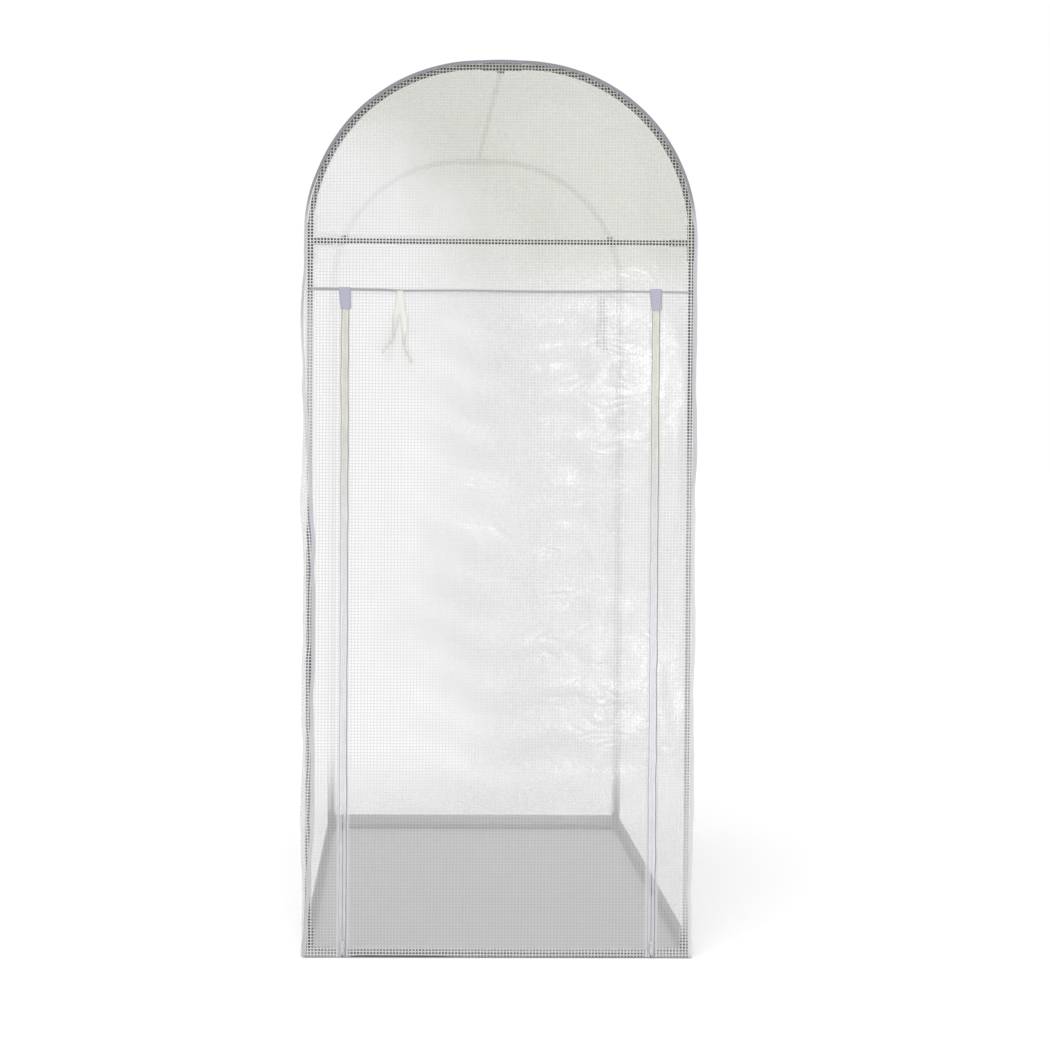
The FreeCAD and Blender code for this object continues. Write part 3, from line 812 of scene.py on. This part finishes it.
def cover_sheet():
    """One long sheet over the left wall, the roof and the right wall."""
    along = np.linspace(0, SECTION_L, steps(SECTION_L))
    deep = np.linspace(-COVER_Y + CORNER_BEND, COVER_Y, steps(2 * COVER_Y))
    s, y = np.meshgrid(along, deep, indexing="ij")
    out = cover_body(s, y)
    turn_out, turn_y, turn_flat = corner_turn(along, out[:, 0])
    out = np.concatenate([turn_out, out], axis=1)
    flat = np.concatenate([turn_flat, y], axis=1)
    y = np.concatenate([turn_y, y], axis=1)
    s = np.repeat(along[:, None], y.shape[1], axis=1)
    x, z = section(s, out)
    hem = edge_band(np.minimum(s, SECTION_L - s), HEM_W)
    piece = film_grid("cover_sheet", x, y, z, flat, s, hem, COVER_FILM)
    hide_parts("roof_sheet", "side_wall_left", "side_wall_right")
    return piece


def panel_rows(low_z, end):
    """Left and right ends of level rows across an end panel, from low_z up to the crown."""
    straight = np.linspace(low_z, SPRING_Z, steps(SPRING_Z - low_z))[:-1] - HEM_Z
    bend = np.linspace(WALL_L, WALL_L + BEND_L, steps(BEND_L))
    left_s = np.concatenate([straight, bend])
    right_s = SECTION_L - left_s
    left = section(left_s, seam_offset(left_s, end))
    right = section(right_s, seam_offset(right_s, end))
    return left, right


def end_panel(name, node, low_z, end):
    """Front gable or rear panel: flat film that billows a little inside its sewn outline."""
    (left_x, left_z), (right_x, right_z) = panel_rows(low_z, end)
    share = np.linspace(0, 1, steps(2 * COVER_X))[None, :]
    x = left_x[:, None] * (1 - share) + right_x[:, None] * share
    z = left_z[:, None] * (1 - share) + right_z[:, None] * share
    rim = np.minimum(x - left_x[:, None], right_x[:, None] - x)
    rim = np.minimum(rim, (SPRING_Z + ARCH_R) - z)
    inside = smooth(rim, 0.02, 0.16) * smooth(z, low_z, low_z + 0.12)
    outward = 0.5 + 0.5 * PANEL_BILLOW(x, z)
    wrinkle = PANEL_WRINKLE(x, z) * PANEL_WRINKLE_H + ALONG_FOLDS(x) + ACROSS_FOLDS(z)
    y = ENDS[end] * (COVER_Y + inside * (PANEL_BULGE * outward + wrinkle))
    hem = edge_band(z - low_z, HEM_W) if end == "rear" else 0 * z
    piece = film_grid(name, x, y, z, x, z, hem, COVER_FILM if end == "rear" else FRONT_FILM)
    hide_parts(node)
    return piece


def jamb_sheet(side):
    """Strip of film between the corner seam and the zip."""
    sign = SIDES[side]
    z = np.linspace(HEM_Z, HEADER_Z, steps(HEADER_Z - HEM_Z))
    s = z - HEM_Z if sign < 0 else SECTION_L - (z - HEM_Z)
    outer = section(s, seam_offset(s, "front"))[0]
    inner = sign * (ZIP_X + FILM_EDGE)
    share = np.linspace(0, 1, 21)[None, :]
    x = outer[:, None] * (1 - share) + inner * share
    z = np.repeat(z[:, None], share.shape[1], axis=1)
    free = smooth(z, HEM_Z, HEM_Z + 0.2) * (1 - smooth(z, HEADER_Z - 0.15, HEADER_Z))
    inside = np.sin(math.pi * share) * free
    y = FRONT_Y - inside * (0.0016 + 0.0014 * PANEL_WRINKLE(x * 2, z))
    band = edge_band(np.abs(x - inner), HEM_BAND)
    low_band = edge_band(z - HEM_Z, HEM_W)
    if sign > 0:
        x, y, z, band, low_band = (a[:, ::-1] for a in (x, y, z, band, low_band))
    piece = film_grid("jamb_sheet_" + side, x, y, z, x, z, np.maximum(band, low_band), FRONT_FILM)
    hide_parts("front_jamb_" + side)
    return piece


def lower_edge(x):
    """Height of the door's lower edge, drawn up a little along one stretch."""
    rise = smooth(x, LIFTED_FROM - 0.02, LIFTED_FROM) * (1 - smooth(x, LIFTED_TO, LIFTED_TO + 0.12))
    return HEM_Z + LIFT * rise


def door_depth(x, z):
    """How far the door hangs inward of its plane: soft level ripples that the ties and zips flatten."""
    free = smooth(DOOR_HIGH.x - np.abs(x), 0.0, 0.10) * smooth(DOOR_TOP_Z - z, 0.0, 0.12)
    free = free * smooth(z, HEM_CLEAR_Z, HEM_CLEAR_Z + 0.12)
    pinch = 1 - 0.97 * np.exp(-((np.abs(x) - TIE_X) / PINCH_W) ** 2)
    bend = 1.3 * np.sin(2 * math.pi * x / 0.83 + 0.6) + 0.9 * np.sin(2 * math.pi * x / 0.37 + 2.0)
    level = 0.5 + 0.5 * np.sin(2 * math.pi * z / PLEAT_L + bend)
    small = np.maximum(PANEL_WRINKLE(x, z) + 1, 0) * DOOR_WRINKLE
    return free * (pinch * (PLEAT_D * level + small) + CRINKLE_D * DOOR_CRINKLES(x, z))


def tie_share(x, z):
    """Where the right tie lies against the door, from 0 to 1."""
    share = np.zeros_like(x)
    for tail in RIGHT_TAILS:
        for (x1, _, z1), (x2, _, z2) in zip(tail, tail[1:]):
            dx, dz = x2 - x1, z2 - z1
            from_x, from_z = x - TIE_X - x1, z - HEADER_LOW.z - z1
            part = np.clip((from_x * dx + from_z * dz) / (dx * dx + dz * dz), 0, 1)
            away = np.hypot(from_x - part * dx, from_z - part * dz)
            share = np.maximum(share, 1 - smooth(away, TIE_W * 0.35, TIE_W * 0.65))
    return share


def door_sheet():
    """Door film from the zip tapes' edges to the header seam."""
    x = np.linspace(-DOOR_HIGH.x, DOOR_HIGH.x, steps(2 * DOOR_HIGH.x, DOOR_CELL_X))[None, :]
    share = np.linspace(0, 1, steps(DOOR_TOP_Z - HEM_Z, DOOR_CELL_Z))[:, None]
    z = lower_edge(x) * (1 - share) + DOOR_TOP_Z * share
    x = np.repeat(x, share.shape[0], axis=0)
    y = FRONT_Y + door_depth(x, z)
    hem = edge_band(DOOR_HIGH.x - np.abs(x), HEM_BAND)
    touch = TIE_CLEAR * tie_share(x, z)
    piece = film_grid("door_sheet", x, y, z, x, z, hem, FRONT_FILM, touch=touch)
    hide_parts("door_panel")
    return piece


def door_hem():
    """Lower edge of the door folded up inside and sewn, as one closed band."""
    x = np.linspace(HEM_LOW.x, HEM_HIGH.x, steps(HEM_HIGH.x - HEM_LOW.x))
    inner = FRONT_Y + FILM_T / 2
    tall = HEM_HIGH.z - HEM_LOW.z
    profile = [(0.0004, 0.0), (0.0009, 0.0006), (0.0009, tall), (0.0005, tall), (0.0004, 0.002)]
    grid_x = np.repeat(x[:, None], len(profile), axis=1)
    y = 0 * grid_x + np.array([inner + dy for dy, dz in profile])
    z = lower_edge(grid_x) + np.array([dz for dy, dz in profile])
    piece = film_grid("door_hem", grid_x, y, z, grid_x, z, 0 * z, COVER_FILM, "door")
    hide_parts("door_bottom_hem")
    return piece


# Ground sheet


def ground_sheet():
    """Tray of grey woven sheet: flat on the ground, turned up inside the two sides and the rear."""
    half_x = FLOOR_HIGH.x
    front, rear = FLOOR_LOW.y, FLOOR_HIGH.y
    upstand = FLOOR_HIGH.z - FLOOR_LOW.z
    across = np.concatenate([[-half_x - upstand, -half_x - upstand / 2],
                             np.linspace(-half_x, half_x, steps(2 * half_x) // 2),
                             [half_x + upstand / 2, half_x + upstand]])
    deep = np.concatenate([np.linspace(front, rear, steps(rear - front) // 2),
                           [rear + upstand / 2, rear + upstand]])
    u, v = np.meshgrid(across, deep, indexing="ij")
    inside_x = half_x - GROUND_GAP
    x = np.clip(u, -inside_x, inside_x)
    y = np.minimum(v, rear - GROUND_GAP)
    up_side = np.maximum(np.abs(u) - half_x, 0)
    up_rear = np.maximum(v - rear, 0)
    wave = np.maximum(PANEL_WRINKLE(u * 1.4, v * 1.4) + 1, 0) * GROUND_WAVE * 0.6
    for from_edge in (half_x - np.abs(u), rear - v, v - front):
        wave = wave * smooth(from_edge, 0, GROUND_REACH)
    z = FLOOR_LOW.z + GROUND_LIFT + np.maximum(up_side, up_rear) + wave
    corner = np.ravel((up_side > 0) & (up_rear > 0))
    faces = [quad for quad in grid_faces(*u.shape) if not (corner[quad[0]] and corner[quad[2]])]
    piece = new_piece("ground_sheet", line_of(x, y, z).reshape(-1, 3), faces, GROUND)
    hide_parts("floor_sheet")
    return piece


# Tapes


def sweep(name, lines, material):
    """Skin over lines of points that run side by side, closed round them, with its two ends filled."""
    rings = np.stack(lines, axis=1)
    count, size = rings.shape[:2]
    faces = []
    for i in range(count - 1):
        for j in range(size):
            k = (j + 1) % size
            faces.append((i * size + j, i * size + k, (i + 1) * size + k, (i + 1) * size + j))
    faces.append(tuple(range(size))[::-1])
    faces.append(tuple((count - 1) * size + j for j in range(size)))
    return new_piece(name, rings.reshape(-1, 3), faces, material)


def front_width(s):
    """Width of the folded tape on an end panel: more over the arch and down the right wall."""
    right = SECTION_L - WALL_L  # where the right wall begins
    arch = smooth(s, WALL_L + 0.10, WALL_L + 0.22) * (1 - smooth(s, right - 0.22, right - 0.10))
    turned = smooth(s, right - 0.3, right + 0.2)
    return BINDING_FRONT_W + BINDING_TURN * turned + BINDING_ARCH * arch


def fold_profile(s, end):
    """Folded tape round a sewn edge: outward and end-ward places of its outline at each s."""
    share = lap_share(s, end)
    width = front_width(s)
    fold = math.pi / 2 * (1 - share)
    side_w = BINDING_SIDE_W * (1 - 0.6 * share)
    face = COVER_Y + FILM_T / 2
    hinge = seam_offset(s, end) + FILM_T / 2 * np.sin(fold)
    thick = BINDING_T * (1 + 0.10 * SEAM_KINK[end](s * 1.7, s * 0))
    front = [(-width, 0.15), (-width + 0.0005, 0.9), (-0.0006, 1.0)]
    places = [(hinge + a, face + t * thick) for a, t in front]
    for part in (0.33, 0.67):
        places.append((hinge + thick * np.sin(fold * part), face + thick * np.cos(fold * part)))
    for a, t in ((0.0006, 1.0), (1.0, 0.9), (1.04, 0.15), (1.0, 0.0), (0.0, 0.0)):
        length = a if a < 0.01 else a * side_w
        places.append((hinge + length * np.cos(fold) + t * thick * np.sin(fold),
                       face - length * np.sin(fold) + t * thick * np.cos(fold)))
    places.append((hinge - width, face + 0 * s))
    return places


def edge_binding(end):
    """Tape folded over the seam between the long sheet and an end panel, from hem to hem."""
    s = np.linspace(0, SECTION_L, steps(SECTION_L))
    lines = []
    for out, deep in fold_profile(s, end):
        x, z = section(s, out)
        lines.append(line_of(x, ENDS[end] * deep, z))
    if end == "rear":
        lines.reverse()
    piece = sweep(end + "_edge_binding", lines, BINDING)
    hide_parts(end + "_seam_binding")
    return piece


def stitches(name, points, normal):
    """Row of raised stitches along a line of points, each a small rounded bar."""
    points = np.asarray(points, float)
    along = np.concatenate([[0], np.cumsum(np.linalg.norm(np.diff(points, axis=0), axis=1))])
    starts = np.arange(STITCH_PITCH / 2, along[-1] - STITCH_L, STITCH_PITCH)

    def at(distance):
        return np.stack([np.interp(distance, along, points[:, k]) for k in range(3)], axis=1)

    first, last = at(starts), at(starts + STITCH_L)
    heading = (last - first) / np.linalg.norm(last - first, axis=1)[:, None]
    normal = np.broadcast_to(np.asarray(normal, float), first.shape)
    side = np.cross(heading, normal)
    side = side / np.linalg.norm(side, axis=1)[:, None] * (STITCH_W / 2)
    verts, faces = [], []
    for a, b, h, n, w in zip(first, last, heading, normal, side):
        base = len(verts)
        up = n * STITCH_W * 0.6
        trim = h * STITCH_L * 0.18
        narrow = w * 0.6
        top_a, top_b = a + trim + up, b - trim + up
        verts += [a - w, a + w, b + w, b - w]
        verts += [top_a - narrow, top_a + narrow, top_b + narrow, top_b - narrow]
        faces += [tuple(base + k for k in quad) for quad in (
            (0, 3, 2, 1), (4, 5, 6, 7), (0, 1, 5, 4), (1, 2, 6, 5), (2, 3, 7, 6), (3, 0, 4, 7))]
    return new_piece(name, verts, faces, THREAD, is_smooth=False)


def binding_stitches(end):
    """Seam through the folded tape, on the panel's side."""
    s = np.linspace(0, SECTION_L, steps(SECTION_L))
    x, z = section(s, seam_offset(s, end) - front_width(s) * 0.6)
    y = ENDS[end] * (COVER_Y + FILM_T / 2 + BINDING_T * 0.85)
    return stitches(end + "_binding_stitches", line_of(x, y, z), (0, ENDS[end], 0))


def header_line(x):
    """Middle of the header tape: it dips a little beside the left tie and runs on lower."""
    x = np.asarray(x, float)
    dip = 0.0022 * smooth(x, -0.31, -0.25) + 0.0008 * np.sin(2 * math.pi * x / 0.41)
    return HEADER_Z + 0.0022 - dip


def header_tape():
    """Tape sewn over the seam above the door."""
    x = np.linspace(HEADER_LOW.x, HEADER_HIGH.x, steps(HEADER_HIGH.x - HEADER_LOW.x))
    half = (HEADER_HIGH.z - HEADER_LOW.z) / 2 * (0.82 - 0.2 * smooth(x, -0.31, -0.22))
    back = FRONT_Y - FILM_T / 2
    line = header_line(x)
    profile = [(0.0, -1.0), (-0.8, -0.92), (-1.0, -0.5), (-0.9, 0.0), (-1.0, 0.5), (-0.8, 0.92), (0.0, 1.0)]
    lines = [line_of(x, back + dy * BINDING_T, line + dz * half) for dy, dz in profile]
    piece = sweep("header_tape", lines, HEADER)
    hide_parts("header_seam_binding")
    return piece


def header_stitches():
    """Two rows of stitches along the header tape."""
    x = np.linspace(HEADER_LOW.x + 0.002, HEADER_HIGH.x - 0.002, steps(1.0))
    y = FRONT_Y - FILM_T / 2 - BINDING_T * 0.95
    made = []
    for row, dz in HEADER_ROWS.items():
        points = line_of(x, y, header_line(x) + dz)
        made.append(stitches("header_stitches_" + row, points, (0, -1, 0)))
    return made


def zip_tab(side):
    """Webbing tab sewn over the top of a zip: it narrows downwards and hangs slightly askew."""
    low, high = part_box("zip_top_tab_" + side)
    half = (high.x - low.x) / 2
    back = FRONT_Y - FILM_T / 2 - BINDING_T
    rows = np.linspace(0, 1, TAB_ROWS)
    centre = (low.x + high.x) / 2 + TAB_LEAN[side] * (rows - 0.3)
    width = half * (1.02 - 0.16 * rows)
    z = high.z + TAB_RAISE + (low.z - high.z) * rows
    swell = 1.0 + 0.6 * np.sin(math.pi * rows)
    profile = [(-1, 0.0006), (-0.97, -0.0004), (-0.6, -0.0008), (0.0, -0.001),
               (0.6, -0.0008), (0.97, -0.0004), (1, 0.0006)]
    lines = [line_of(centre + width * a, back + b * swell, z) for a, b in profile]
    piece = sweep("zip_tab_" + side, lines, TAB)
    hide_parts("zip_top_tab_" + side)
    edges = [line_of(centre + way * width * 0.74, back - 0.0009 * swell, z)[1:-1] for way in (-1, 1)]
    stitches("zip_tab_stitches_" + side, np.concatenate([edges[0], edges[1][::-1]]), (0, -1, 0))


def zip_tape(side, away, node, top_z):
    """Woven tape of half a zip, with a beaded outer edge."""
    sign = SIDES[side] * away
    z = np.linspace(HEM_Z, top_z, steps(top_z - HEM_Z))
    inner = TOOTH_FROM + TAPE_INNER
    neck = ZIP_TAPE_OUT - 2 * TAPE_BEAD
    bead = ZIP_TAPE_OUT - TAPE_BEAD
    profile = [(inner, -TAPE_T / 2), (neck, -TAPE_T / 2), (bead, -TAPE_T), (ZIP_TAPE_OUT, 0.0),
               (bead, TAPE_T), (neck, TAPE_T / 2), (inner, TAPE_T / 2)]
    if sign < 0:
        profile.reverse()
    lines = [line_of(SIDES[side] * ZIP_X + sign * dx, ZIP_Y + dy, z) for dx, dy in profile]
    piece = sweep(node.replace("_tape", "_woven_tape"), lines, ZIP_TAPE)
    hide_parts(node)
    return piece


def zip_teeth(side, away, node, top_z):
    """Teeth of half a zip as one row, set half a pitch off those of the other half."""
    sign = SIDES[side] * away
    start = SIDES[side] * ZIP_X
    first = HEM_Z + 0.004 + (0.0 if away > 0 else TOOTH_PITCH / 2)
    outline = [(TOOTH_FROM, 0.0), (TOOTH_FROM + 0.0006, 0.5), (TOOTH_TO - 0.0004, 0.5),
               (TOOTH_TO, 0.0), (TOOTH_TO - 0.0004, -0.5), (TOOTH_FROM + 0.0006, -0.5)]
    count = len(outline)
    ring = list(range(count))[::sign]
    verts, faces = [], []
    for low in np.arange(first, top_z - TOOTH_H - 0.002, TOOTH_PITCH):
        base = len(verts)
        for z in (low, low + TOOTH_H):
            verts += [(start + sign * dx, ZIP_Y + dy * TOOTH_T, z) for dx, dy in outline]
        faces.append(tuple(base + k for k in ring))
        faces.append(tuple(base + count + k for k in ring[::-1]))
        for a, b in zip(ring, ring[1:] + ring[:1]):
            faces.append((base + b, base + a, base + count + a, base + count + b))
    name = node.replace("_tape", "_teeth")
    return new_piece(name, verts, faces, COIL, is_smooth=False)


def edge_bead(name, side, away, half, high_z):
    """Narrow rounded fold along a film edge beside a zip: the right-hand edge of each zip is painted
    darker, as painted shade, and the left-hand one paler, as painted light.
    """
    x = SIDES[side] * (ZIP_X + away * FILM_EDGE)
    z = np.linspace(HEM_Z, high_z, steps(high_z - HEM_Z))
    drift = EDGE_BEAD_H * SEAM_KINK["front"](z, 0 * z + x)
    face = FRONT_Y - FILM_T / 2
    profile = [(-half, 0.0), (-half * 0.6, -EDGE_BEAD_H), (half * 0.6, -EDGE_BEAD_H), (half, 0.0)]
    lines = [line_of(x + drift + dx, face + dy, z) for dx, dy in profile]
    return sweep(name, lines, EDGES[SIDES[side] * away])


# Ties


def tie_tail(name, at, route, twists, node):
    """One tail of a tie: flat twill tape along a smooth hanging line, turned about it by the twists."""
    curve = bpy.data.curves.new(name + "_route", "CURVE")
    curve.dimensions = "3D"
    curve.resolution_u = 10
    spline = curve.splines.new("NURBS")
    spline.points.add(len(route) - 1)
    for point, (dx, dy, dz) in zip(spline.points, route):
        point.co = (at.x + dx, at.y + dy, at.z + dz, 1)
    spline.order_u = 3
    spline.use_endpoint_u = True
    holder = bpy.data.objects.new(name + "_route", curve)
    traced = bpy.data.meshes.new_from_object(holder)
    line = np.array([v.co for v in traced.vertices], float)
    bpy.data.meshes.remove(traced)
    bpy.data.objects.remove(holder)
    bpy.data.curves.remove(curve)
    along = np.concatenate([[0], np.cumsum(np.linalg.norm(np.diff(line, axis=0), axis=1))])
    turn = np.radians(np.interp(along / along[-1], np.linspace(0, 1, len(twists)), twists))
    heading = np.gradient(line, axis=0)
    heading /= np.linalg.norm(heading, axis=1)[:, None]
    across = np.cross(heading, (0.0, 1.0, 0.0))
    across /= np.linalg.norm(across, axis=1)[:, None]
    face = np.cross(across, heading)
    wide = across * np.cos(turn)[:, None] + face * np.sin(turn)[:, None]
    thick = np.cross(heading, wide)
    half, rim = TIE_W / 2, TIE_T / 2
    profile = [(-half, 0), (-half * 0.96, -rim), (0, -rim * 1.3), (half * 0.96, -rim),
               (half, 0), (half * 0.96, rim), (0, rim * 1.3), (-half * 0.96, rim)]
    lines = [line + wide * a + thick * b for a, b in profile]
    piece = sweep(name, lines, COTTON)
    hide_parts(node)
    return piece


def ties():
    """Two tails at each tie: the left pair hangs outside the film, the right pair inside."""
    routes = {"left": zip(LEFT_TAILS, LEFT_TWISTS), "right": zip(RIGHT_TAILS, RIGHT_TWISTS)}
    for side, tails in routes.items():
        node = "tie_tape_" + side
        low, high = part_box(node)
        outside = side == "left"
        outward = -1 if outside else 1
        face = high.y if outside else low.y
        for layer, (route, twists) in enumerate(tails):
            y = face + outward * (layer + 0.5) * TIE_T
            at = Vector((SIDES[side] * TIE_X, y, HEADER_LOW.z + 0.003))
            tie_tail(node + "_" + "ab"[layer], at, route, twists, node)


# Frame finishes


def frame_finishes():
    """Powder coat on the tubes, moulded plastic on the connectors, zinc on the sliders and pulls."""
    tubes = ("upright", "arch_tube", "crossbar", "ridge_pole", "base_rail")
    connectors = ("apex_connector", "arch_connector", "corner_connector")
    finishes = {tubes: STEEL, connectors: PLASTIC, ("zip_slider", "zip_pull"): ZINC}
    for name, node in NODES.items():
        for starts, material in finishes.items():
            if name.startswith(starts):
                node.data.materials.clear()
                node.data.materials.append(material)


# Stage


def white_floor():
    """Floor of the studio, which glows a little so that shadows on it stay pale."""
    mesh = bpy.data.meshes.new("studio_floor")
    corners = [(-1, -1), (1, -1), (1, 1), (-1, 1)]
    mesh.from_pydata([(x * FLOOR_REACH, y * FLOOR_REACH, 0) for x, y in corners], [], [(0, 1, 2, 3)])
    floor = bpy.data.objects.new("studio_floor", mesh)
    floor.location.z = -FLOOR_DROP
    bpy.context.scene.collection.objects.link(floor)
    material, shader, place = new_material("studio_white")
    put(shader["Base Color"], mix_colour(noise(place, 0.6), (0.93, 0.93, 0.93), (0.95, 0.95, 0.95)))
    put(shader["Roughness"], 0.9)
    put(shader["Specular IOR Level"], 0.0)
    put(shader["Emission Color"], (1, 1, 1, 1))
    put(shader["Emission Strength"], FLOOR_GLOW)
    mesh.materials.append(material)


def lamp(name, kind, energy, at, turn, **form):
    """Light at a place, turned by degrees about x, y and z."""
    light = bpy.data.lights.new(name, kind)
    light.energy = energy
    for key, value in form.items():
        setattr(light, key, value)
    holder = bpy.data.objects.new(name, light)
    holder.location = at
    holder.rotation_euler = [math.radians(angle) for angle in turn]
    bpy.context.scene.collection.objects.link(holder)


def studio():
    """White surroundings, an even soft light, a tall softbox beside the camera and two small glints."""
    world = bpy.data.worlds.new("studio")
    bpy.context.scene.world = world
    world.use_nodes = True
    tree = world.node_tree
    back = tree.nodes["Background"].inputs
    path = new_node(tree, "LightPath").outputs
    seen = Value(tree, path["Is Camera Ray"])
    for other in ("Is Glossy Ray", "Is Transmission Ray"):
        seen = seen.math("MAXIMUM", Value(tree, path[other]))
    put(back["Color"], (1, 1, 1, 1))
    put(back["Strength"], seen * (1 - AMBIENT) + AMBIENT)
    white_floor()
    lamp("overhead", "SUN", SUN, (0, 0, 0), SUN_TURN, angle=math.radians(SUN_SPREAD))
    wide, tall = KEY_SIZE
    lamp("softbox", "AREA", KEY, KEY_AT, KEY_TURN, shape="RECTANGLE", size=wide, size_y=tall)
    for number, (at, energy) in enumerate(GLINTS):
        lamp(f"glint_{number}", "AREA", energy, at, GLINT_TURN, shape="SQUARE", size=GLINT_SIZE)


def camera():
    """Camera at the photograph's viewpoint."""
    data = bpy.data.cameras.new("photo_camera")
    data.sensor_width = SENSOR
    data.lens = CAMERA_LENS
    data.shift_x, data.shift_y = CAMERA_SHIFT
    data.clip_end = 200
    eye = bpy.data.objects.new("photo_camera", data)
    turn = Matrix.Rotation(math.radians(CAMERA_YAW), 4, "Z")
    turn = turn @ Matrix.Rotation(math.radians(90 + CAMERA_PITCH), 4, "X")
    turn = turn @ Matrix.Rotation(math.radians(CAMERA_ROLL), 4, "Z")
    eye.matrix_world = Matrix.Translation(CAMERA_AT) @ turn
    bpy.context.scene.collection.objects.link(eye)
    bpy.context.scene.camera = eye


def roll_up(piece):
    """Reads how far the door rolls up and gives the piece a mesh of its own; the share of the door left
    hanging is worked out but not used.
    """
    travel = next(j for j in frame["joints"] if j["name"] == "door_roll")["range_m"][1]
    keep = 1 - travel / (DOOR_TOP_Z - HEM_Z)
    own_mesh(piece)


def arch_area(low_z):
    """Flat area of an end panel above low_z."""
    return 2 * COVER_X * (SPRING_Z - low_z) + 2 * CROWN_HALF * ARCH_R + math.pi * ARCH_R ** 2 / 2


camera()
studio()
frame_finishes()

cover = cover_sheet()
rear = end_panel("rear_sheet", "rear_panel", HEM_Z, "rear")
gable = end_panel("gable_sheet", "front_gable_panel", HEADER_Z, "front")
jambs = [jamb_sheet(side) for side in SIDES]
door = door_sheet()
hem = door_hem()
ground = ground_sheet()
bindings = {end: edge_binding(end) for end in ENDS}
seams = {end: binding_stitches(end) for end in ENDS}
header = header_tape()
header_rows = header_stitches()
for side in SIDES:
    zip_tab(side)
for side in SIDES:
    for make in (zip_tape, zip_teeth):
        make(side, 1, "jamb_zip_tape_" + side, HEADER_Z)
    for make in (zip_tape, zip_teeth):
        roll_up(make(side, -1, "door_zip_tape_" + side, DOOR_TOP_Z))
    edge_bead("jamb_film_edge_" + side, side, 1, 0.0011, HEADER_Z - 0.006)
    roll_up(edge_bead("door_film_edge_" + side, side, -1, 0.0010, DOOR_TOP_Z - 0.006))
roll_up(door)
ties()

arch_area(HEM_Z)

scene = bpy.context.scene
scene.view_settings.view_transform = "Standard"
